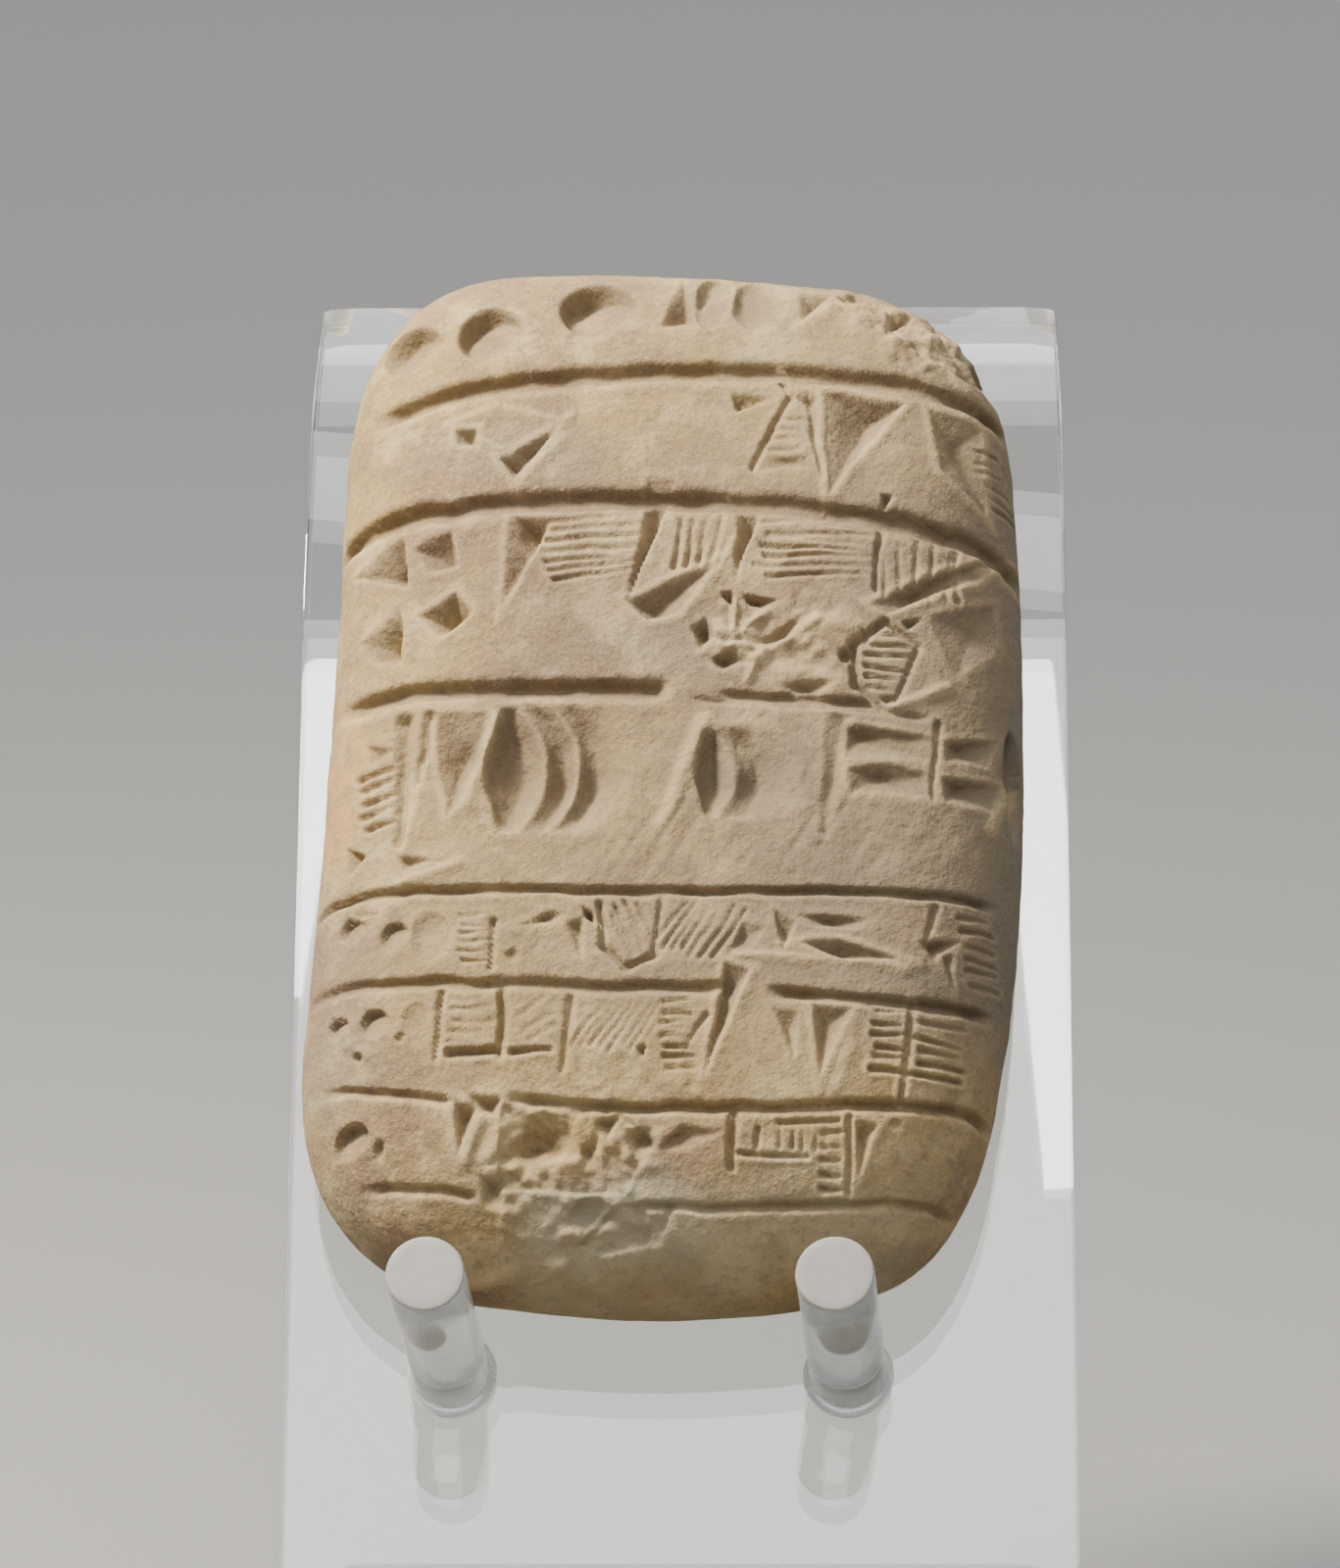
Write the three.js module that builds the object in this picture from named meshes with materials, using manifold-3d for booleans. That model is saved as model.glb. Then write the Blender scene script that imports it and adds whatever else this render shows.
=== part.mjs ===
import * as THREE from 'three';
import { mergeVertices } from 'three/addons/utils/BufferGeometryUtils.js';
import Module from 'manifold-3d';

// A clay tablet covered with rows of pressed strokes. It rests on two clear pegs and leans on the
// clear plate that carries them: one strip, bent into a foot, a leaning plate and a curled top.
// Millimetres, +Z up, the written face towards -Y, the origin under the middle of the whole.

// Stand
const LEAN = 35; // degrees that the plate leans back from upright
const SHEET_WIDTH = 62;
const SHEET_THICKNESS = 5;
const PEG_LINE = 50; // up the plate's front, from its sharp lower corner to the pegs' axes
const PLATE_OVER_PEGS = 61; // flat part of the plate above the pegs' axes
const TOP_RADIUS = 57; // front surface of the curled top
const TOP_CURL = 46; // degrees that the top turns back
const FRONT_BEND = 5; // inner radius where the plate turns into the foot
const FOOT_LENGTH = 95; // from the plate's sharp lower corner to the foot's back end
const SHEET_CORNER = 3;
const EDGE_POLISH = 0.5;

// Pegs
const PEG_DIAMETER = 6;
const PEG_LENGTH = 23.4;
const PEG_SPACING = 30.9;
const PEG_SHIFT = -2.3; // middle of the pair, from the plate's centre line
const PEG_COLLAR = 7.1; // diameter of the ring of cement around the glued end
const COLLAR_HEIGHT = 1.4;
const PEG_CHAMFER = 0.3;
const PEG_LEAN = 2.8; // degrees that both were glued out of square, their tips to the left

// Tablet
const TABLET_WIDTH = 56.5;
const TABLET_HEIGHT = 88.8;
const TABLET_THICKNESS = 20;
const RIM_DEPTH = 8.2; // the widest outline, in front of the tablet's back
const BASE_RADIUS = 82.6; // the lower edge's arc, which rests on both pegs
const TABLET_SHIFT = -1.1; // tablet's centre line, from the plate's
const SEAT_GAP = 0.3; // between parts that touch

// Swelling of the tablet's two faces, as powers of a rounded cushion
const FRONT_FULLNESS = 5;
const FRONT_ROUNDNESS = 2.2;
const BACK_FULLNESS = 6;
const BACK_ROUNDNESS = 2;

// Strokes
const RULE_WIDTH = 2.5;
const RULE_DEPTH = 0.95;
const STROKE_DEPTH = 0.9;
const HATCH_PITCH = 1.1;
const HATCH_DEPTH = 0.35;
const CUT_LIFT = 0.8; // how far a cutter stands proud of the clay
const FLOOR_SPREAD = 0.62; // how wide the floor of a rounded pit is, as a share of its mouth

const rad = THREE.MathUtils.degToRad;
const wasm = await Module();
wasm.setup();

function solidOf(geometry) {
  const bare = geometry.clone();
  bare.deleteAttribute('normal');
  bare.deleteAttribute('uv');
  const welded = mergeVertices(bare, 1e-4);
  return new wasm.Manifold(new wasm.Mesh({
    numProp: 3,
    vertProperties: new Float32Array(welded.attributes.position.array),
    triVerts: new Uint32Array(welded.index.array),
  }));
}

function geometryOf(solid) {
  const mesh = solid.getMesh();
  const geometry = new THREE.BufferGeometry();
  geometry.setAttribute('position', new THREE.BufferAttribute(mesh.vertProperties, 3));
  geometry.setIndex(new THREE.BufferAttribute(mesh.triVerts, 1));
  return geometry;
}

// A closed skin over rings of points, with a tip beyond the first and the last ring.
function loft(rings, firstTip, lastTip) {
  const count = rings[0].length;
  const points = [...rings.flat(), firstTip, lastTip];
  const first = points.length - 2;
  const last = points.length - 1;
  const faces = [];
  for (let i = 0; i < count; i += 1) {
    const next = (i + 1) % count;
    faces.push(first, next, i);
    for (let ring = 1; ring < rings.length; ring += 1) {
      const below = (ring - 1) * count;
      const above = ring * count;
      faces.push(below + i, below + next, above + next);
      faces.push(below + i, above + next, above + i);
    }
    const top = (rings.length - 1) * count;
    faces.push(last, top + i, top + next);
  }
  const geometry = new THREE.BufferGeometry();
  const places = points.flatMap((point) => point.toArray());
  geometry.setAttribute('position', new THREE.Float32BufferAttribute(places, 3));
  geometry.setIndex(faces);
  return geometry;
}

// Stand: the side view of the bent strip, drawn with x towards the back and y up
const plateDirection = new THREE.Vector2(Math.sin(rad(LEAN)), Math.cos(rad(LEAN)));
const plateBack = new THREE.Vector2(Math.cos(rad(LEAN)), -Math.sin(rad(LEAN)));
const bendRadius = FRONT_BEND + SHEET_THICKNESS;
const bendTangent = bendRadius / Math.tan(rad((90 - LEAN) / 2));
const curlCentre = plateDirection.clone().multiplyScalar(PEG_LINE + PLATE_OVER_PEGS)
  .addScaledVector(plateBack, TOP_RADIUS);

const plateAngle = rad(180 - LEAN);
const endAngle = plateAngle - rad(TOP_CURL);

function stripProfile() {
  const down = rad(270);
  const profile = new THREE.Shape();
  profile.moveTo(FOOT_LENGTH, 0);
  profile.lineTo(bendTangent, 0);
  profile.absarc(bendTangent, bendRadius, bendRadius, down, plateAngle, true);
  profile.absarc(curlCentre.x, curlCentre.y, TOP_RADIUS, plateAngle, endAngle, true);
  profile.absarc(curlCentre.x, curlCentre.y, TOP_RADIUS - SHEET_THICKNESS, endAngle, plateAngle, false);
  profile.absarc(bendTangent, bendRadius, FRONT_BEND, plateAngle, down, false);
  profile.lineTo(FOOT_LENGTH, SHEET_THICKNESS);
  return profile;
}

// What is cut away to round one corner of an end of the strip. The end is at a point of the side
// view, halfway through the sheet, and the sheet rises there by a slope in degrees.
function cornerCutter(side, end, slope) {
  const edge = SHEET_WIDTH / 2;
  const inner = edge - SHEET_CORNER;
  const beyond = SHEET_CORNER;
  const corner = new THREE.Shape();
  corner.moveTo(inner, 0);
  corner.lineTo(inner, beyond);
  corner.lineTo(edge + beyond, beyond);
  corner.lineTo(edge + beyond, -SHEET_CORNER);
  corner.lineTo(edge, -SHEET_CORNER);
  corner.absarc(inner, -SHEET_CORNER, SHEET_CORNER, 0, rad(90), false);
  const depth = 2 * SHEET_THICKNESS;
  const cutter = new THREE.ExtrudeGeometry(corner, { depth, bevelEnabled: false, curveSegments: 4 });
  cutter.translate(0, 0, -depth / 2);
  if (side < 0) cutter.rotateY(Math.PI);
  cutter.rotateX(rad(slope));
  cutter.translate(0, end.x, end.y);
  return solidOf(cutter);
}

function standGeometry() {
  const strip = new THREE.ExtrudeGeometry(stripProfile(), {
    depth: SHEET_WIDTH - 2 * EDGE_POLISH,
    bevelThickness: EDGE_POLISH,
    bevelSize: EDGE_POLISH,
    bevelOffset: -EDGE_POLISH,
    bevelSegments: 1,
    curveSegments: 8,
  });
  strip.translate(0, 0, EDGE_POLISH - SHEET_WIDTH / 2);
  const across = new THREE.Matrix4().makeBasis(
    new THREE.Vector3(0, 1, 0),
    new THREE.Vector3(0, 0, 1),
    new THREE.Vector3(1, 0, 0),
  );
  strip.applyMatrix4(across);
  const footEnd = new THREE.Vector2(FOOT_LENGTH, SHEET_THICKNESS / 2);
  const topEnd = new THREE.Vector2(Math.cos(endAngle), Math.sin(endAngle))
    .multiplyScalar(TOP_RADIUS - SHEET_THICKNESS / 2).add(curlCentre);
  let solid = solidOf(strip);
  for (const side of [-1, 1]) {
    solid = solid.subtract(cornerCutter(side, footEnd, 0));
    solid = solid.subtract(cornerCutter(side, topEnd, 90 - LEAN - TOP_CURL));
  }
  return geometryOf(solid);
}

// Peg: a rod turned about the plate's normal, with its ring of cement at the plate
function pegGeometry() {
  const radius = PEG_DIAMETER / 2;
  const collar = PEG_COLLAR / 2;
  const profile = [
    [0, 0],
    [collar, 0],
    [collar, COLLAR_HEIGHT * 0.3],
    [radius + (collar - radius) * 0.3, COLLAR_HEIGHT * 0.65],
    [radius, COLLAR_HEIGHT],
    [radius, PEG_LENGTH - PEG_CHAMFER],
    [radius - PEG_CHAMFER, PEG_LENGTH],
    [0, PEG_LENGTH],
  ].map(([r, along]) => new THREE.Vector2(r, along));
  const peg = new THREE.LatheGeometry(profile, 28);
  peg.rotateX(rad(90));
  return geometryOf(solidOf(peg));
}

// Tablet outline, in shares of its half width and of its height, from the lowest point up
const half = TABLET_WIDTH / 2;
const pegDrift = -(RIM_DEPTH + SEAT_GAP) * Math.tan(rad(PEG_LEAN)); // where the rim meets the pegs
const pegMiddle = PEG_SHIFT + pegDrift - TABLET_SHIFT; // lowest place of the base arc
const SIDE = {
  right: { base: 0.5, hem: [0.89, 0.162], belly: [1.05, 0.37], shoulder: [0.975, 0.78], top: [0.5, 0.984] },
  left: { base: 0.53, hem: [1.0, 0.223], belly: [0.935, 0.536], shoulder: [0.92, 0.804], top: [0.46, 0.998] },
};
const HEM_TURN = { right: [0.79, 0.03], left: [1.01, 0.043] };
const TOP_TURN = { right: [0.97, 0.955], left: [0.885, 0.983] };

function baseHeight(x) {
  return BASE_RADIUS - Math.sqrt(BASE_RADIUS ** 2 - (x - pegMiddle) ** 2);
}

function tabletOutline() {
  const at = ([x, y]) => [x * half, y * TABLET_HEIGHT];
  const mirrored = ([x, y]) => [-x * half, y * TABLET_HEIGHT];
  const { right, left } = SIDE;
  const rightBase = right.base * half;
  const leftBase = -left.base * half;
  const outline = new THREE.Shape();
  outline.moveTo(rightBase, baseHeight(rightBase));
  outline.quadraticCurveTo(...at(HEM_TURN.right), ...at(right.hem));
  outline.quadraticCurveTo(...at(right.belly), ...at(right.shoulder));
  outline.quadraticCurveTo(...at(TOP_TURN.right), ...at(right.top));
  outline.quadraticCurveTo(0, TABLET_HEIGHT * 1.006, ...mirrored(left.top));
  outline.quadraticCurveTo(...mirrored(TOP_TURN.left), ...mirrored(left.shoulder));
  outline.quadraticCurveTo(...mirrored(left.belly), ...mirrored(left.hem));
  outline.quadraticCurveTo(...mirrored(HEM_TURN.left), leftBase, baseHeight(leftBase));
  const spread = Math.asin((rightBase - pegMiddle) / BASE_RADIUS);
  const start = -Math.asin((pegMiddle - leftBase) / BASE_RADIUS);
  outline.absarc(pegMiddle, BASE_RADIUS, BASE_RADIUS, rad(270) + start, rad(270) + spread, false);
  return outline;
}

const RING_POINTS = 72;
const middle = new THREE.Vector2(0, TABLET_HEIGHT / 2);
const outlinePoints = tabletOutline().getSpacedPoints(RING_POINTS).slice(0, -1);
const outlineRays = outlinePoints
  .map((point) => point.clone().sub(middle))
  .map((ray) => ({ angle: Math.atan2(ray.y, ray.x), reach: ray.length() }))
  .sort((one, other) => one.angle - other.angle);

// How far a place on the face lies from the middle, as a share of the outline in that direction
function reachShare(x, y) {
  const ray = new THREE.Vector2(x, y).sub(middle);
  const angle = Math.atan2(ray.y, ray.x);
  const after = outlineRays.findIndex((one) => one.angle >= angle);
  const high = outlineRays[after < 0 ? 0 : after];
  const low = outlineRays[after <= 0 ? outlineRays.length - 1 : after - 1];
  const turn = 2 * Math.PI;
  const gap = (high.angle - low.angle + turn) % turn;
  const share = gap > 0 ? ((angle - low.angle + turn) % turn) / gap : 0;
  return ray.length() / (low.reach + (high.reach - low.reach) * share);
}

function frontHeight(share) {
  const fall = 1 - Math.min(share, 1) ** FRONT_FULLNESS;
  return RIM_DEPTH + (TABLET_THICKNESS - RIM_DEPTH) * fall ** (1 / FRONT_ROUNDNESS);
}

function backHeight(share) {
  const fall = 1 - Math.min(share, 1) ** BACK_FULLNESS;
  return RIM_DEPTH * (1 - fall ** (1 / BACK_ROUNDNESS));
}

function onFace(x, y, lift = 0) {
  return new THREE.Vector3(x, y, frontHeight(reachShare(x, y)) + lift);
}

function cushion() {
  const ringAt = (share, height) => outlinePoints.map((point) => {
    const place = point.clone().sub(middle).multiplyScalar(share).add(middle);
    return new THREE.Vector3(place.x, place.y, height);
  });
  const backRings = [0.5, 0.76, 0.91, 0.98].map((share) => ringAt(share, backHeight(share)));
  const rim = ringAt(1, RIM_DEPTH);
  const frontRings = [0.99, 0.965, 0.925, 0.865, 0.77, 0.6, 0.34]
    .map((share) => ringAt(share, frontHeight(share)));
  const back = new THREE.Vector3(middle.x, middle.y, 0);
  const front = new THREE.Vector3(middle.x, middle.y, TABLET_THICKNESS);
  return solidOf(loft([...backRings, rim, ...frontRings], back, front));
}

// A ruling: a V groove right across the face, which sinks out where the face turns under
function ruling({ y, drop, bow }) {
  const stations = 14;
  const rings = [];
  for (let i = 0; i <= stations; i += 1) {
    const across = (2 * i) / stations - 1;
    const x = across * half * 0.965;
    const level = (y - drop * across / 2 - bow * across ** 2) * TABLET_HEIGHT;
    const face = onFace(x, level).z;
    const wide = (RULE_WIDTH / 2) * (1 + CUT_LIFT / RULE_DEPTH);
    rings.push([
      new THREE.Vector3(x, level, face - RULE_DEPTH),
      new THREE.Vector3(x, level + wide, face + CUT_LIFT),
      new THREE.Vector3(x, level - wide, face + CUT_LIFT),
    ]);
  }
  const centre = (ring) => ring.reduce((sum, point) => sum.add(point), new THREE.Vector3())
    .divideScalar(ring.length);
  return solidOf(loft(rings, centre(rings[0]), centre(rings[stations])));
}

// A pit pressed into the face: its outline there, its deepest place, and a rounded or a sharp floor
function pit(outline, deepest, depth, rounded) {
  const bottom = onFace(deepest[0], deepest[1], -depth);
  const rim = outline.map(([x, y]) => onFace(x, y));
  const proud = 1 + CUT_LIFT / depth;
  const top = rim.map((point) => bottom.clone().lerp(point, proud));
  const rings = [top];
  if (rounded) {
    const floor = rim.map((point) => bottom.clone().lerp(point, FLOOR_SPREAD)
      .add(new THREE.Vector3(0, 0, (FLOOR_SPREAD - 1) * depth)));
    rings.unshift(floor);
  }
  const crown = onFace(deepest[0], deepest[1]);
  crown.z = Math.max(crown.z, ...top.map((point) => point.z)) + CUT_LIFT;
  return solidOf(loft(rings, bottom, crown));
}

function oval(x, y, wide, tall, tilt, sides) {
  const turn = rad(tilt);
  return Array.from({ length: sides }, (_, i) => {
    const angle = (2 * Math.PI * i) / sides;
    const across = (wide / 2) * Math.cos(angle);
    const along = (tall / 2) * Math.sin(angle);
    return [
      x + across * Math.cos(turn) - along * Math.sin(turn),
      y + across * Math.sin(turn) + along * Math.cos(turn),
    ];
  });
}

// The stroke kinds. Each takes its place on the face and its size.
const dent = (x, y, size) => pit(oval(x, y, size, size, 0, 9), [x - size * 0.14, y + size * 0.2],
  size * 0.25, true);

const scoop = (x, y, size) => pit(oval(x, y, size * 0.34, size, -8, 9), [x + size * 0.05, y],
  STROKE_DEPTH * 1.1, true);

const hollow = (x, y, size) => pit(oval(x, y, size, size * 0.6, 28, 7), [x, y], STROKE_DEPTH * 1.1, false);

const wedgeAt = (x, y, size, tilt, blunt) => {
  const turn = rad(tilt);
  const place = (across, along) => [
    x + size * (across * Math.cos(turn) - along * Math.sin(turn)),
    y + size * (across * Math.sin(turn) + along * Math.cos(turn)),
  ];
  const outline = [place(-blunt, 0.42), place(0, -0.58), place(blunt, 0.42)];
  return pit(outline, place(0, 0.24), STROKE_DEPTH, false);
};
const wedge = (x, y, size) => wedgeAt(x, y, size, -16, 0.17);
const dart = (x, y, size) => wedgeAt(x, y, size, -35, 0.42);
const slash = (x, y, size) => wedgeAt(x, y, size, 120, 0.14);
const bar = (x, y, size) => wedgeAt(x, y, size, 84, 0.16);

function hatch(x, y, size, tilt) {
  const lines = Math.max(2, Math.round(size / HATCH_PITCH / 1.4));
  const turn = rad(tilt);
  return Array.from({ length: lines }, (_, i) => {
    const step = (i - (lines - 1) / 2) * HATCH_PITCH;
    const place = [x - step * Math.sin(turn), y + step * Math.cos(turn)];
    return pit(oval(...place, size * 0.8, HATCH_PITCH * 0.7, tilt, 4), place, HATCH_DEPTH, false);
  });
}
const panel = (x, y, size) => hatch(x, y, size, -4);
const comb = (x, y, size) => hatch(x, y, size, 74);

// The rows from the top down. Places are shares of the half width and of the height, and sizes are
// shares of the half width.
const RULINGS = [
  { y: 0.858, drop: -0.024, bow: 0.039 },
  { y: 0.725, drop: 0.02, bow: 0.03 },
  { y: 0.539, drop: 0.018, bow: 0.004 },
  { y: 0.347, drop: 0.004, bow: -0.006 },
  { y: 0.257, drop: 0.022, bow: -0.01 },
  { y: 0.152, drop: 0.028, bow: -0.018 },
  { y: 0.067, drop: 0.012, bow: -0.024 },
];
const ROWS = [
  { y: 0.913, make: dent, size: 0.191, at: [-0.74, -0.50, -0.19] },
  { y: 0.931, make: wedge, size: 0.177, at: [0.09, 0.40] },
  { y: 0.780, make: slash, size: 0.195, at: [-0.38] },
  { y: 0.790, make: dart, size: 0.230, at: [0.52] },
  { y: 0.787, make: panel, size: 0.163, at: [0.31] },
  { y: 0.775, make: wedge, size: 0.248, at: [0.83] },
  { y: 0.669, make: dart, size: 0.127, at: [-0.81, -0.65] },
  { y: 0.607, make: dart, size: 0.135, at: [-0.79, -0.61] },
  { y: 0.666, make: wedge, size: 0.301, at: [-0.40, -0.04] },
  { y: 0.672, make: panel, size: 0.212, at: [-0.22, 0.38] },
  { y: 0.666, make: comb, size: 0.230, at: [0.08, 0.69] },
  { y: 0.622, make: slash, size: 0.319, at: [0.04, 0.72] },
  { y: 0.586, make: hollow, size: 0.195, at: [0.16, 0.34] },
  { y: 0.568, make: panel, size: 0.142, at: [0.61] },
  { y: 0.604, make: wedge, size: 0.177, at: [0.83] },
  { y: 0.458, make: scoop, size: 0.290, at: [-0.44, -0.30, -0.19] },
  { y: 0.455, make: scoop, size: 0.177, at: [0.12, 0.24] },
  { y: 0.458, make: panel, size: 0.149, at: [-0.78] },
  { y: 0.468, make: wedge, size: 0.283, at: [-0.57, 0.47] },
  { y: 0.483, make: bar, size: 0.212, at: [0.62, 0.84] },
  { y: 0.445, make: bar, size: 0.212, at: [0.62, 0.84] },
  { y: 0.380, make: dart, size: 0.092, at: [-0.85, -0.67] },
  { y: 0.314, make: dent, size: 0.092, at: [-0.86, -0.73] },
  { y: 0.304, make: comb, size: 0.163, at: [-0.10, 0.08] },
  { y: 0.304, make: panel, size: 0.120, at: [-0.52, 0.86] },
  { y: 0.304, make: wedge, size: 0.177, at: [-0.40, -0.24, 0.23, 0.35, 0.74] },
  { y: 0.314, make: bar, size: 0.195, at: [0.52] },
  { y: 0.285, make: bar, size: 0.195, at: [0.54] },
  { y: 0.229, make: dent, size: 0.092, at: [-0.89, -0.78] },
  { y: 0.216, make: panel, size: 0.156, at: [-0.52, -0.32, 0.64, 0.78] },
  { y: 0.211, make: comb, size: 0.163, at: [-0.10, 0.05] },
  { y: 0.206, make: wedge, size: 0.248, at: [-0.42, 0.16, 0.38, 0.50] },
  { y: 0.129, make: dent, size: 0.078, at: [-0.84, -0.74] },
  { y: 0.123, make: hollow, size: 0.184, at: [-0.31, -0.11] },
  { y: 0.113, make: wedge, size: 0.177, at: [-0.56, 0.54] },
  { y: 0.109, make: bar, size: 0.159, at: [0.07] },
  { y: 0.109, make: panel, size: 0.127, at: [0.29, 0.43] },
];

// Broken places: where each lump of clay is gone from the edges, as shares of the half width, the
// height and the thickness, and how large it was, as shares of the half width
const CHIPS = [
  { at: [0.94, 0.885, 0.6], size: [0.078, 0.092, 0.177], tilt: 20 },
  { at: [0.62, 0.965, 0.95], size: [0.248, 0.092, 0.113], tilt: -22 },
  { at: [0.86, 0.9, 0.925], size: [0.106, 0.177, 0.085], tilt: 30 },
  { at: [-0.1, 0.035, 0.975], size: [0.195, 0.085, 0.071], tilt: 8 },
  { at: [0.12, 0.03, 0.925], size: [0.142, 0.071, 0.057], tilt: 35 },
  { at: [-0.45, 0.008, 0.7], size: [0.159, 0.046, 0.085], tilt: 14 },
  { at: [0.97, 0.47, 0.675], size: [0.042, 0.177, 0.078], tilt: 6 },
];

function chip({ at: [x, y, z], size, tilt }) {
  const lump = new THREE.IcosahedronGeometry(1, 1);
  lump.scale(...size.map((share) => share * half));
  lump.rotateZ(rad(tilt));
  lump.translate(x * half, y * TABLET_HEIGHT, z * TABLET_THICKNESS);
  return solidOf(lump);
}

function tabletGeometry() {
  const strokes = ROWS.flatMap(({ y, make, size, at }) => at
    .flatMap((x) => make(x * half, y * TABLET_HEIGHT, size * half)));
  const cutters = [...RULINGS.map(ruling), ...strokes, ...CHIPS.map(chip)];
  const carved = cutters.reduce((clay, cutter) => clay.subtract(cutter), cushion());
  return geometryOf(carved);
}

// Materials
const clay = new THREE.MeshStandardMaterial({ color: 0xb59a7b, roughness: 0.92, metalness: 0 });
const clearSheet = new THREE.MeshStandardMaterial({ color: 0xdde6e3, roughness: 0.06, metalness: 0 });
const clearRod = new THREE.MeshStandardMaterial({ color: 0xd8dcd8, roughness: 0.2, metalness: 0 });

function named(name, geometry, material) {
  const mesh = new THREE.Mesh(geometry, material);
  mesh.name = name;
  return mesh;
}

// The plate's own frame: x across, y up the plate from the pegs' axes, z out of its front
const onPlate = new THREE.Group();
onPlate.rotation.x = rad(90 - LEAN);
onPlate.position.set(0, plateDirection.x * PEG_LINE, plateDirection.y * PEG_LINE);

for (const [name, side] of [['left_peg', -1], ['right_peg', 1]]) {
  const peg = named(name, pegGeometry(), clearRod.clone());
  peg.position.set(PEG_SHIFT + (side * PEG_SPACING) / 2, 0, SEAT_GAP);
  peg.rotation.y = -rad(PEG_LEAN);
  onPlate.add(peg);
}

// The base arc touches both pegs, short of the gap
const reachToPeg = BASE_RADIUS + PEG_DIAMETER / 2 + SEAT_GAP;
const arcCentre = Math.sqrt(reachToPeg ** 2 - (PEG_SPACING / 2) ** 2);
const tablet = named('tablet', tabletGeometry(), clay);
tablet.position.set(TABLET_SHIFT, arcCentre - BASE_RADIUS, SEAT_GAP);
onPlate.add(tablet);

const assembly = new THREE.Group();
assembly.add(named('stand', standGeometry(), clearSheet), onPlate);

const model = new THREE.Group();
model.add(assembly);
const bounds = new THREE.Box3().setFromObject(model, true);
assembly.position.y = -(bounds.min.y + bounds.max.y) / 2;

export default model;
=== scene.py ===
import math

import bpy
import numpy as np
from bpy.props import FloatProperty, FloatVectorProperty, IntProperty, PointerProperty
from mathutils import Matrix, Vector


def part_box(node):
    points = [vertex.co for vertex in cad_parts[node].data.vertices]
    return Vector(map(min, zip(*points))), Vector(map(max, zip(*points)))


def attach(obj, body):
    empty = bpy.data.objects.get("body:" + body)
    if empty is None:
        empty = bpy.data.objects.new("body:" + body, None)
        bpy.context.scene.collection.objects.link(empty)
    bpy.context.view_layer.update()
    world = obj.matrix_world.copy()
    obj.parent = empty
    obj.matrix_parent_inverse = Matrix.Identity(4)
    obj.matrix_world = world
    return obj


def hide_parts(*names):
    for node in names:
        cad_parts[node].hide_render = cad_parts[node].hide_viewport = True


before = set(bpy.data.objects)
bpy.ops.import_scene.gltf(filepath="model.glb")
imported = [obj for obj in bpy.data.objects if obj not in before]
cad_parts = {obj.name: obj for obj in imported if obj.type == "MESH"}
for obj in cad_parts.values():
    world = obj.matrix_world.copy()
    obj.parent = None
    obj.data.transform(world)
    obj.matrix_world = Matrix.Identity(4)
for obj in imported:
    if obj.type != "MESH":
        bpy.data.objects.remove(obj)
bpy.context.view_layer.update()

bl_info = {
    "name": "Clay Tablet on a Clear Stand",
    "version": (1, 0, 0),
    "blender": (4, 5, 0),
    "location": "View3D > Sidebar > Tablet",
    "description": "Makes a clay tablet with pressed strokes, its clear stand and the stage around them",
    "category": "Add Mesh",
}

MM = 0.001
ROOT = "root"

# The stand and where the tablet leans on it, in millimetres and radians
LEAN = math.radians(35.0)
SHEET_WIDTH = 62.0
SHEET_THICKNESS = 5.0
PEG_LINE = 50.0
PLATE_OVER_PEGS = 61.0
TOP_RADIUS = 57.0
TOP_CURL = math.radians(46.0)
BEND_RADIUS = 10.0
BEND_TANGENT = BEND_RADIUS / math.tan((math.pi / 2 - LEAN) / 2)
FOOT_LENGTH = 95.0
CORNER_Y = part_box("stand")[0].y / MM - (BEND_TANGENT - BEND_RADIUS)
PEG_RADIUS = 3.0
PEG_SPACING = 30.9
PEG_SHIFT = -2.3
PEG_LEAN = math.radians(2.8)
SEAT_GAP = 0.3
TABLET_SHIFT = -1.1


def plate_point(across, up, out):
    """A place in metres: across the plate, up it from its sharp lower corner, and out of its front."""
    y = CORNER_Y + up * math.sin(LEAN) - out * math.cos(LEAN)
    z = up * math.cos(LEAN) + out * math.sin(LEAN)
    return Vector((across, y, z)) * MM


def plate_matrix(across, up, out):
    """Turns millimetres in the plate's frame, with z out of its front, into metres in the model."""
    turn = Matrix.Rotation(math.pi / 2 - LEAN, 4, "X")
    return Matrix.Translation(plate_point(across, up, out)) @ turn @ Matrix.Scale(MM, 4)


# Sizes and colours that a user would change

def colour_setting(name, description, value):
    """A setting that holds a colour."""
    return FloatVectorProperty(name=name, description=description, subtype="COLOR", default=value)


def size_setting(name, description, value, least):
    """A setting that holds a size in millimetres."""
    return FloatProperty(name=name, description=description + ", in mm", default=value, min=least)


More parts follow.
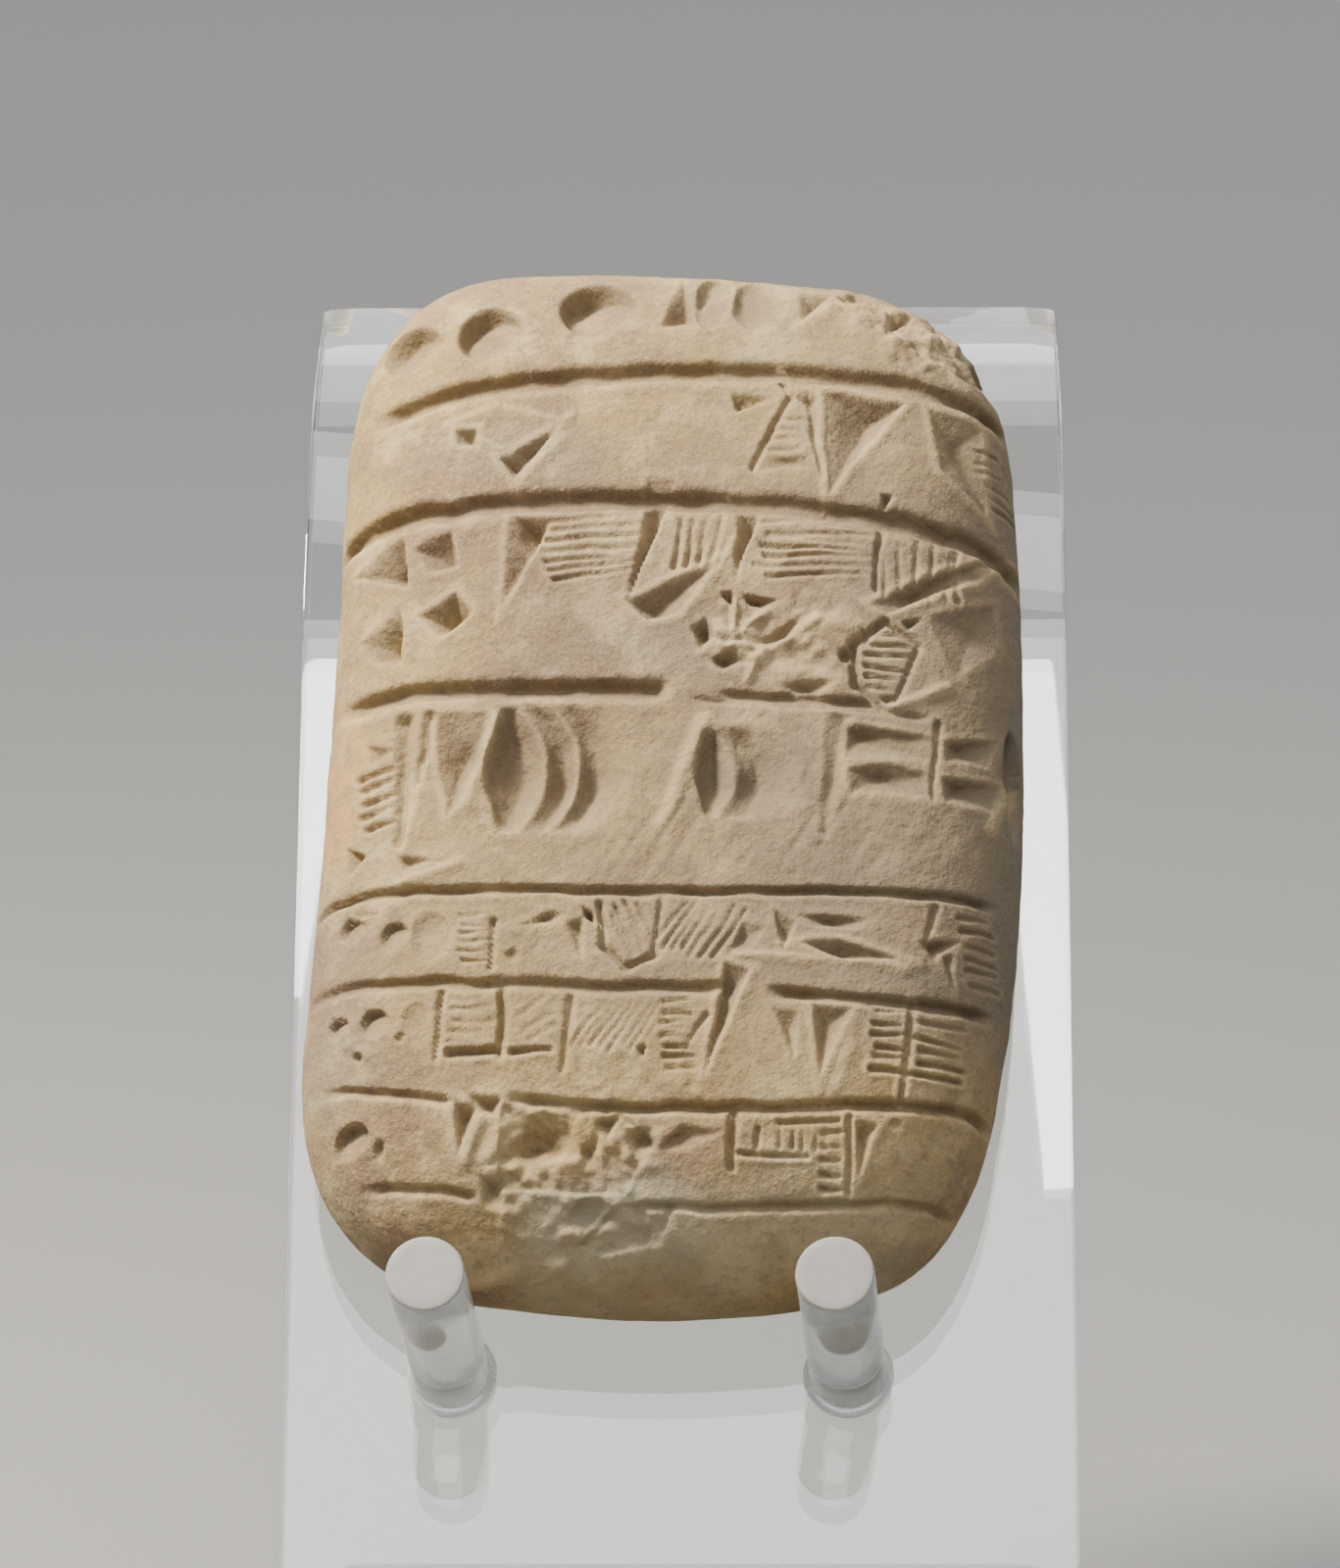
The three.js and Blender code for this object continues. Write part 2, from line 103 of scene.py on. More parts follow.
class TabletSettings(bpy.types.PropertyGroup):
    width: size_setting("Width", "Across the written face", 56.5, 20)
    height: size_setting("Height", "Up the written face", 88.8, 30)
    thickness: size_setting("Thickness", "Through the middle", 20.0, 8)
    rim_depth: size_setting("Rim Depth", "From the back to the widest outline", 8.2, 2)
    base_radius: size_setting("Base Radius", "Arc of the lower edge", 82.6, 40)
    columns: IntProperty(name="Columns", description="Faces across the written side", default=340, min=40)
    rows: IntProperty(name="Rows", description="Faces up the written side", default=520, min=60)
    face_limit: IntProperty(
        name="Face Limit", description="Triangles that are kept", default=190000, min=2000)
    buff: colour_setting("Buff", "Main colour of the dry clay", (0.288, 0.197, 0.078))
    pink: colour_setting("Pink", "Rosy brown patches", (0.205, 0.130, 0.072))
    # Painted shade: this colour darkens the clay towards the right, below and on its turned-away sides, in
    # place of the light's fall-off
    painted_shade: colour_setting("Painted_Shade", "Darker skin towards the right and below", (0.142, 0.112, 0.076))
    # Cream and painted highlight: besides the pale blotches and grains, this colour lightens raised lips and
    # ridges
    cream_and_highlight: colour_setting("Cream", "Pale rubbed edges", (0.42, 0.31, 0.158))
    # Soil and painted shade: besides the dark specks, this colour darkens every stroke by its depth
    soil_and_shade: colour_setting("Soil", "Dirt left in the strokes", (0.128, 0.094, 0.056))
    crust: colour_setting("Crust", "Grey mineral dust", (0.285, 0.265, 0.185))


class StandSettings(bpy.types.PropertyGroup):
    corner: size_setting("Corner", "Radius of the sheet's corners", 3.0, 0.5)
    polish: size_setting("Polish", "Width of the flame-polished edge", 0.45, 0.1)
    clear: colour_setting("Clear", "Tint of the sheet", (0.955, 0.975, 0.965))
    edge_tint: colour_setting("Edge Tint", "Tint of its sawn edges", (0.86, 0.91, 0.89))


class RodSettings(bpy.types.PropertyGroup):
    diameter: size_setting("Diameter", "Of the rod", 6.0, 2)
    length: size_setting("Length", "Out of the plate", 23.4, 5)
    collar: size_setting("Collar", "Diameter of the ring of cement", 7.1, 2)
    collar_height: size_setting("Collar Height", "Of the ring of cement", 1.4, 0.2)
    chamfer: size_setting("Chamfer", "At the sawn end", 0.3, 0.05)
    sawn: colour_setting("Sawn End", "Colour of the matt sawn end", (0.33, 0.315, 0.29))


class StageSettings(bpy.types.PropertyGroup):
    distance: FloatProperty(
        name="Distance", description="From the camera to the plate", subtype="DISTANCE", default=0.66045)
    azimuth: FloatProperty(
        name="Azimuth", description="Of the camera, towards +X", subtype="ANGLE",
        default=math.radians(0.967))
    elevation: FloatProperty(
        name="Elevation", description="Of the camera above the level", subtype="ANGLE",
        default=math.radians(11.588))
    roll: FloatProperty(
        name="Roll", description="Of the camera", subtype="ANGLE", default=math.radians(-0.239))
    focal_pixels: FloatProperty(
        name="Focal Length", description="In pixels of a frame 1600 pixels tall", default=8380.0)
    floor: colour_setting("Floor", "Colour of the plain floor", (0.19, 0.186, 0.178))


# Small helpers for modelling as by hand

def only(piece):
    """Selects this piece alone and makes it active."""
    bpy.ops.object.select_all(action="DESELECT")
    piece.select_set(True)
    bpy.context.view_layer.objects.active = piece


def new_piece(name):
    """The primitive that was just added, under its own name."""
    piece = bpy.context.active_object
    piece.name = name
    piece.data.name = name
    only(piece)
    return piece


def start_editing(element, action="SELECT"):
    """Goes into edit mode, with everything selected or nothing."""
    bpy.ops.object.mode_set(mode="EDIT")
    bpy.ops.mesh.select_mode(type=element)
    bpy.ops.mesh.select_all(action=action)


def finish_editing():
    """Turns all faces outwards and leaves edit mode."""
    bpy.ops.mesh.select_all(action="SELECT")
    bpy.ops.mesh.normals_make_consistent(inside=False)
    bpy.ops.object.mode_set(mode="OBJECT")


def extrude(way):
    """Draws the selection out along a way."""
    bpy.ops.mesh.extrude_region_move(TRANSFORM_OT_translate={"value": way})


def pick_edges(piece, test):
    """Selects in edit mode the edges whose two ends pass a test."""
    start_editing("EDGE", "DESELECT")
    bpy.ops.object.mode_set(mode="OBJECT")
    corners = piece.data.vertices
    for edge in piece.data.edges:
        first, second = (corners[i].co for i in edge.vertices)
        edge.select = test(first, second)
    bpy.ops.object.mode_set(mode="EDIT")


def apply_modifier(piece, kind, name, **settings):
    modifier = piece.modifiers.new(name, kind)
    for key, value in settings.items():
        setattr(modifier, key, value)
    only(piece)
    bpy.ops.object.modifier_apply(modifier=modifier.name)


def finish_piece(piece, slot, *nodes):
    """The piece stands for its CAD nodes and moves with the whole."""
    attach(piece, ROOT)
    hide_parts(*nodes)


def smooth(share):
    share = np.clip(share, 0.0, 1.0)
    return share * share * (3.0 - 2.0 * share)


def patch(x, y, wide, tall, full):
    """A patch with soft edges around the origin, as wide and tall as its two radii."""
    return smooth(full - np.hypot(x / wide, y / tall))


# Noise on a lattice, for the clay's unevenness

LATTICE = 48


def lattice_noise(places, feature, seed, stretch=(1.0, 1.0, 1.0)):
    """Smooth noise between -1 and 1 at places in mm, with lumps of about that size."""
    table = np.random.RandomState(seed).uniform(-1.0, 1.0, (LATTICE,) * 3)
    scaled = places / (feature * np.array(stretch)) + 7.3 * seed
    cell = np.floor(scaled).astype(int)
    inside = scaled - cell
    blend = inside * inside * (3.0 - 2.0 * inside)
    total = np.zeros(len(places))
    for corner in np.ndindex(2, 2, 2):
        at = (cell + corner) % LATTICE
        weight = np.prod(np.where(corner, blend, 1.0 - blend), axis=1)
        total += weight * table[at[:, 0], at[:, 1], at[:, 2]]
    return total


# Tablet outline, in shares of its half width and of its height, from the lowest point up

SIDES = {
    "right": {"base": 0.50, "hem": (0.89, 0.162), "belly": (1.05, 0.37), "shoulder": (0.975, 0.78),
              "top": (0.50, 0.984), "hem_turn": (0.79, 0.03), "top_turn": (0.97, 0.955)},
    "left": {"base": 0.53, "hem": (1.0, 0.223), "belly": (0.935, 0.536), "shoulder": (0.92, 0.804),
             "top": (0.46, 0.998), "hem_turn": (1.01, 0.043), "top_turn": (0.885, 0.983)},
}
TOP_CROWN = 1.006


def curve(start, pull, end, steps=40):
    """A quadratic curve without its last point."""
    t = np.linspace(0.0, 1.0, steps, endpoint=False)[:, None]
    return (1 - t) ** 2 * np.array(start) + 2 * t * (1 - t) * np.array(pull) + t ** 2 * np.array(end)


class TabletForm:
    """The tablet's plain cushion shape, in mm: x across, y up from its lowest point, z from its back."""

    FRONT = (5.0, 2.2)
    BACK = (6.0, 2.0)

    def __init__(self, settings):
        self.half = settings.width / 2
        self.height = settings.height
        self.thickness = settings.thickness
        self.rim = settings.rim_depth
        self.base_radius = settings.base_radius
        drift = -(self.rim + SEAT_GAP) * math.tan(PEG_LEAN)
        self.low_x = PEG_SHIFT + drift - TABLET_SHIFT
        self.middle = np.array((0.0, self.height / 2))
        rays = self.outline() - self.middle
        angle = np.arctan2(rays[:, 1], rays[:, 0])
        order = np.argsort(angle)
        self.angles = angle[order]
        self.reaches = np.hypot(rays[:, 0], rays[:, 1])[order]
        self.lift = self.seat_height()

    def seat_height(self):
        """How far the lowest point hangs over the line of the pegs' axes."""
        reach = self.base_radius + PEG_RADIUS + SEAT_GAP
        return math.sqrt(reach ** 2 - (PEG_SPACING / 2) ** 2) - self.base_radius

    def base_height(self, x):
        return self.base_radius - np.sqrt(self.base_radius ** 2 - (x - self.low_x) ** 2)

    def side_curves(self, side, sign):
        """The points up one side, from the base arc to the top."""
        shares = SIDES[side]
        at = {key: (sign * value[0] * self.half, value[1] * self.height)
              for key, value in shares.items() if key != "base"}
        base_x = sign * shares["base"] * self.half
        base = (base_x, self.base_height(base_x))
        return base, at["hem_turn"], at["hem"], at["belly"], at["shoulder"], at["top_turn"], at["top"]

    def outline(self):
        right = self.side_curves("right", 1)
        left = self.side_curves("left", -1)
        chain = (*right, (0.0, TOP_CROWN * self.height), *reversed(left))
        x = np.linspace(left[0][0], right[0][0], 80, endpoint=False)
        base = np.column_stack((x, self.base_height(x)))
        return np.vstack((base, *(curve(*chain[i:i + 3]) for i in range(0, len(chain) - 2, 2))))

    def reach(self, angle):
        return np.interp(angle, self.angles, self.reaches, period=2 * math.pi)

    def front(self, share):
        fullness, roundness = self.FRONT
        fall = 1 - np.clip(share, 0, 1) ** fullness
        return self.rim + (self.thickness - self.rim) * fall ** (1 / roundness)

    def back(self, share):
        fullness, roundness = self.BACK
        fall = 1 - np.clip(share, 0, 1) ** fullness
        return self.rim * (1 - fall ** (1 / roundness))

    def evened(self, share, height):
        """Moves shares of the reach so that equal steps are equal ways along a face."""
        along = 1 - np.linspace(1, 0, 4001) ** 3
        reach = (self.half + self.height / 2) / 2
        step = np.hypot(np.diff(along) * reach, np.diff(height(along)))
        way = np.concatenate(((0.0,), np.cumsum(step)))
        return np.interp(share, way / way[-1], along)

    def places(self, u, v, ring, rings):
        """Where the points of the parameter square and of its trailing rings lie on the cushion."""
        square = np.maximum(np.abs(u), np.abs(v))
        angle = np.arctan2(v * self.height / 2, u * self.half)
        on_front = ring < 0.5
        front_share = self.evened(square, self.front)
        back_square = np.where(square > 0.5, 1 - ring / (rings + 1.0), 0.0)
        back_share = self.evened(back_square, self.back)
        share = np.where(on_front, front_share, back_share)
        out = share * self.reach(angle)
        z = np.where(on_front, self.front(share), self.back(share))
        return np.column_stack((out * np.cos(angle), self.middle[1] + out * np.sin(angle), z))


# Rulings: level at the middle, drop to the right and bow, as shares of the height, then the stretch
# that each covers, from x to x in mm, its width and its depth, both as shares of a full one
RULINGS = (
    (0.858, -0.024, 0.039, -23.5, 30.0, 1.0, 1.0),
    (0.7245, 0.020, 0.030, -30.0, 30.0, 1.1, 1.0),
    (0.5415, 0.002, 0.001, -26.0, 0.6, 0.95, 1.0),
    (0.5366, 0.032, 0.000, 3.6, 17.5, 0.6, 0.65),
    (0.5315, 0.042, 0.000, 1.4, 21.0, 0.4, 0.3),
    (0.347, 0.004, -0.006, -28.0, 26.0, 0.48, 0.65),
    (0.258, 0.004, -0.011, -28.0, 5.6, 0.60, 0.60),
    (0.271, 0.150, -0.059, 7.6, 25.5, 0.62, 0.75),
    (0.1216, 0.121, 0.000, -26.5, -15.6, 0.48, 0.5),
    (0.1487, 0.012, -0.026, -12.6, 27.0, 0.58, 0.72),
    (0.0529, 0.0954, 0.000, -23.5, -13.8, 0.42, 0.45),
    (0.066, 0.002, -0.025, -2.6, 24.5, 0.42, 0.52),
)
RULE_DEPTH = 1.05
STROKE_DEPTH = 1.25
# Across a ruling, from below it to above it, in mm, and the share of its depth
RULE_PROFILE = (
    (-2.4, -1.5, -1.1, -0.6, -0.1, 0.25, 0.65, 1.0),
    (0.0, 0.09, -0.05, -0.8, -1.0, -0.93, -0.15, 0.0),
)


class PressedClay:
    """Heights over the written face in mm, at given places, as strokes are pressed into it."""

    def __init__(self, x, y):
        self.x = x
        self.y = y
        self.cut = np.zeros(len(x))
        self.raised = np.zeros(len(x))
        self.rough = np.zeros(len(x))
        self.flaked = np.zeros(len(x))

    def near(self, x, y, reach):
        found = np.flatnonzero((np.abs(self.x - x) < reach) & (np.abs(self.y - y) < reach))
        return found, self.x[found] - x, self.y[found] - y

    def press(self, found, depth):
        self.cut[found] = np.minimum(self.cut[found], -STROKE_DEPTH * depth)

    def lip(self, found, beyond, height, spread=0.42):
        raised = np.where(beyond > -0.2, height * np.exp(-((beyond - 0.15) / spread) ** 2), 0.0)
        self.raised[found] = np.maximum(self.raised[found], raised)

    def ruling(self, form, level, drop, bow, start, end, wide, deep):
        across = self.x / form.half
        line = (level - drop * across / 2 - bow * across ** 2) * form.height
        depth = np.interp((self.y - line) / wide, *RULE_PROFILE) * RULE_DEPTH * deep
        fade = smooth((self.x - start) / 2.2) * smooth((end - self.x) / 1.4)
        self.cut = np.minimum(self.cut, np.minimum(depth, 0.0) * fade)
        self.raised = np.maximum(self.raised, np.maximum(depth, 0.0) * fade)

    def within(self, corners, margin):
        """Places in and around a patch with straight sides, and how far each is inside every side."""
        corners = np.array(corners, float)
        centre = corners.mean(axis=0)
        found, _, _ = self.near(*centre, np.abs(corners - centre).max() + margin)
        following = np.roll(corners, -1, axis=0)
        area = np.sum(corners[:, 0] * following[:, 1] - corners[:, 1] * following[:, 0])
        sides = []
        for start, end in zip(corners, following):
            along = (end - start) / np.linalg.norm(end - start)
            inward = np.array((-along[1], along[0])) * np.sign(area)
            inside = (self.x[found] - start[0]) * inward[0] + (self.y[found] - start[1]) * inward[1]
            sides.append((start, inward, inside))
        return found, sides

    def beside(self, x, y, long, turn, margin):
        """Places around a line, and how far each is along it, aside of it and past its ends."""
        cosine, sine = math.cos(math.radians(turn)), math.sin(math.radians(turn))
        found, _, _ = self.near(x + cosine * long / 2, y + sine * long / 2, long / 2 + margin)
        dx, dy = self.x[found] - x, self.y[found] - y
        along = dx * cosine + dy * sine
        aside = dy * cosine - dx * sine
        return found, along, aside, np.maximum(np.maximum(-along, along - long), 0.0)

    def pit(self, corners, low, depth, lip=0.05):
        """A pit with flat walls, from its corners down to its lowest place."""
        found, sides = self.within(corners, 1.2)
        ratios = [inside / max((np.array(low) - start) @ inward, 0.05) for start, inward, inside in sides]
        ratio = np.clip(np.min(ratios, axis=0), 0.0, 1.0)
        beyond = np.max([-inside for _, _, inside in sides], axis=0)
        self.press(found, depth * 1.16 * ratio ** 2 / (ratio + 0.16))
        self.lip(found, beyond, lip)

    def oval(self, x, y, wide, tall, low, depth, rest=0.0, turn=0.0, roundness=1.8, lip=0.04):
        """A rounded pit over an oval, its lowest place moved off its centre. It wipes out what it covers."""
        found, dx, dy = self.near(x, y, max(wide, tall) / 2 + 1.0)
        cosine, sine = math.cos(math.radians(turn)), math.sin(math.radians(turn))
        across = (dx * cosine + dy * sine) / (wide / 2)
        along = (dy * cosine - dx * sine) / (tall / 2)
        low_x, low_y = low[0] / (wide / 2), low[1] / (tall / 2)
        off_x, off_y = across - low_x, along - low_y
        way = np.maximum(off_x ** 2 + off_y ** 2, 1e-6)
        dot = low_x * off_x + low_y * off_y
        gain = (-dot + np.sqrt(dot ** 2 + way * (1 - low_x ** 2 - low_y ** 2))) / way
        gauge = 1 / np.maximum(gain, 1e-3)
        floor = depth * (rest + (1 - rest) * (1 - np.clip(gauge, 0, 1) ** roundness))
        inner = smooth((1 - gauge) / 0.12)
        self.cut[found] = self.cut[found] * (1 - inner) - floor * inner
        self.lip(found, (gauge - 1) * min(wide, tall) / 2, lip * (along > -0.5))

    def fingers(self, y, half, bulge, edges, depths):
        """Finger tips pressed side by side, with crests between them that bow to the right."""
        found, _, dy = self.near((edges[0] + edges[-1]) / 2, y, max(half, (edges[-1] - edges[0]) / 2) + 2.0)
        share = dy / half
        bow = np.clip((self.x[found] - edges[2]) / 1.2, -1, 1) * bulge
        depth = np.interp(self.x[found] + bow * share ** 2, edges, depths)
        self.press(found, depth * np.clip(1 - share ** 2, 0, 1) ** 0.8)

    def dent(self, x, y, size, depth, turn=132.0):
        """A round stylus end pressed in at a slant, deepest towards one side."""
        found, dx, dy = self.near(x, y, size / 2 + 1.0)
        radius = size / 2
        rho = np.hypot(dx, dy) / radius
        turn = math.radians(turn)
        deep = (dx * math.cos(turn) + dy * math.sin(turn)) / radius
        wall = smooth((1 - rho) / 0.24)
        self.press(found, depth * np.clip(0.45 + 0.55 * deep, 0, 1) * wall)

    def groove(self, x, y, long, wide, depth, turn, tail=0.35, lip=0.04):
        """A V stroke, full at its head and thinner at its tail."""
        found, along, aside, past = self.beside(x, y, long, turn, 1.2)
        full = wide / 2 * (1 - (1 - tail) * np.clip(along / long, 0, 1))
        gauge = np.hypot(aside, past) / full
        ratio = np.clip(1 - gauge, 0, 1)
        self.press(found, depth * (full / (wide / 2)) * 1.1 * ratio ** 2 / (ratio + 0.10))
        self.lip(found, (gauge - 1) * full, lip, 0.22)

    def wedge(self, x, y, long, wide, depth, turn=-105.0, slant=0.25):
        """A stroke with a broad head at its place and a tail in one direction."""
        angle = math.radians(turn)
        ahead = np.array((math.cos(angle), math.sin(angle)))
        aside = np.array((-ahead[1], ahead[0]))
        place = np.array((x, y))
        head = (place + aside * wide / 2, place - aside * wide / 2)
        tail = place + ahead * long
        low = place + ahead * long * 0.22 + aside * wide * 0.3 * slant
        self.pit((head[0] - ahead * wide * 0.12, tail, head[1] + ahead * wide * 0.12), low, depth)

    def lines(self, x, y, long, gap, count, depth, turn=0.0, wide=0.5, lean=0.0, seed=1):
        """Parallel strokes, stacked square to their own direction, or leaning off that."""
        chance = np.random.RandomState(seed)
        angle = math.radians(turn)
        ahead = np.array((math.cos(angle), math.sin(angle)))
        stack = np.array((math.cos(angle + math.pi / 2 + lean), math.sin(angle + math.pi / 2 + lean)))
        for i in range(count):
            jitter = chance.uniform(-1, 1, 4)
            length = long * (1 + 0.12 * jitter[0])
            start = np.array((x, y)) + stack * gap * (i - (count - 1) / 2 + 0.12 * jitter[1])
            start = start - ahead * length / 2 + ahead * 0.2 * jitter[2]
            pressed = 0.72 * depth * (1 + 0.4 * jitter[3])
            tail = 0.5 + 0.3 * jitter[2]
            self.groove(*start, length, 1.12 * wide, pressed, turn + 4 * jitter[1], tail, 0.05)

    def flake(self, corners, depth, edge=0.35):
        """A patch whose skin has come off, with a rough floor."""
        found, sides = self.within(corners, 1.0)
        share = smooth(np.min([inside for _, _, inside in sides], axis=0) / edge)
        self.flaked[found] = np.maximum(self.flaked[found], depth * share)
        self.rough[found] = np.maximum(self.rough[found], share * 0.8)

    def broken(self, x, y, reach, strength=1.0):
        """A place where the clay is crumbled."""
        found, dx, dy = self.near(x, y, reach)
        share = smooth(1.25 - 1.25 * np.hypot(dx, dy) / reach) * strength
        self.rough[found] = np.maximum(self.rough[found], share)

    def ridge(self, x, y, long, wide, height, turn):
        """A crest of clay pushed up along a line."""
        found, _, aside, past = self.beside(x, y, long, turn, wide)
        crest = height * np.exp(-(np.hypot(aside, past) / (wide / 2)) ** 2)
        self.raised[found] = np.maximum(self.raised[found], crest)


# The rows of strokes, from the top down, in mm

def press_row_one(clay):
    clay.dent(-20.5, 79.4, 5.4, 1.6)
    clay.dent(-14.1, 79.8, 6.0, 1.6)
    clay.dent(-5.4, 82.4, 6.8, 1.8)
    clay.oval(7.4, 83.4, 4.6, 6.8, (-1.6, 0.2), 0.95, 0.05, -6, 1.4)
    clay.oval(3.6, 83.7, 3.2, 7.0, (-1.0, 0.3), 1.15, 0.25, -8, 1.4)
    clay.pit(((-0.9, 80.2), (1.1, 86.8), (2.9, 84.8), (2.3, 80.4)), (1.5, 82.6), 1.2)
    clay.pit(((10.4, 85.1), (13.2, 85.2), (10.5, 80.7)), (12.0, 83.8), 1.2)
    clay.flake(((12.2, 83.6), (15.0, 85.6), (22.0, 82.0), (25.2, 77.0), (23.0, 76.6), (18.4, 79.6)), 0.35)
    clay.ridge(10.6, 80.7, 3.6, 1.3, 0.25, 40)
    clay.ridge(13.2, 83.1, 5.4, 1.5, 0.45, 2)
    clay.pit(((17.4, 83.8), (19.9, 83.8), (17.3, 80.0)), (19.0, 82.8), 1.1)
    clay.ridge(17.8, 79.6, 3.4, 0.9, 0.3, 52)
    clay.ridge(19.6, 81.9, 3.6, 1.1, 0.35, -18)
    clay.ridge(20.8, 78.6, 4.2, 1.0, 0.3, -40)
    clay.broken(20.5, 80.4, 5.6)
    clay.broken(14.6, 84.0, 3.4, 0.6)


def press_row_two(clay):
    clay.pit(((-16.9, 70.6), (-15.0, 70.9), (-14.9, 69.0), (-16.8, 69.2)), (-15.7, 69.9), 0.85, 0.12)
    clay.pit(((-13.3, 68.1), (-12.1, 66.0), (-8.3, 71.2)), (-12.1, 67.4), 0.95, 0.14)
    clay.ridge(-17.4, 71.0, 4.4, 1.0, 0.20, 24)
    clay.ridge(-13.2, 72.6, 4.6, 0.9, 0.16, -14)
    clay.ridge(-11.7, 65.7, 5.4, 1.0, 0.20, 52)
    clay.ridge(-14.6, 69.6, 3.4, 0.9, 0.16, -30)
    clay.pit(((5.0, 74.4), (5.4, 72.0), (8.7, 73.6)), (5.9, 72.9), 0.8)
    clay.wedge(8.9, 75.3, 2.3, 1.1, 0.7, -62)
    clay.groove(9.8, 73.7, 7.4, 0.9, 0.5, -114, 0.8)
    clay.groove(11.2, 73.8, 7.6, 0.8, 0.35, -82, 0.8)
    clay.pit(((9.8, 74.0), (12.2, 73.8), (11.4, 72.2)), (11.4, 73.2), 0.7)
    clay.pit(((7.6, 68.3), (11.5, 68.1), (11.8, 66.9), (7.0, 66.6)), (9.5, 67.6), 0.4)
    clay.lines(9.7, 70.1, 2.6, 0.98, 4, 0.34, 0, 0.55, lean=-0.1, seed=3)
    clay.pit(((12.3, 74.2), (18.9, 73.2), (12.6, 64.3)), (16.2, 71.9), 1.35, 0.16)
    clay.pit(((20.6, 73.2), (24.9, 72.6), (25.6, 64.2), (21.6, 67.4)), (23.2, 69.9), 0.95, 0.12)
    clay.lines(26.0, 68.0, 1.9, 0.95, 6, 0.34, 8, 0.5, lean=0.2, seed=4)


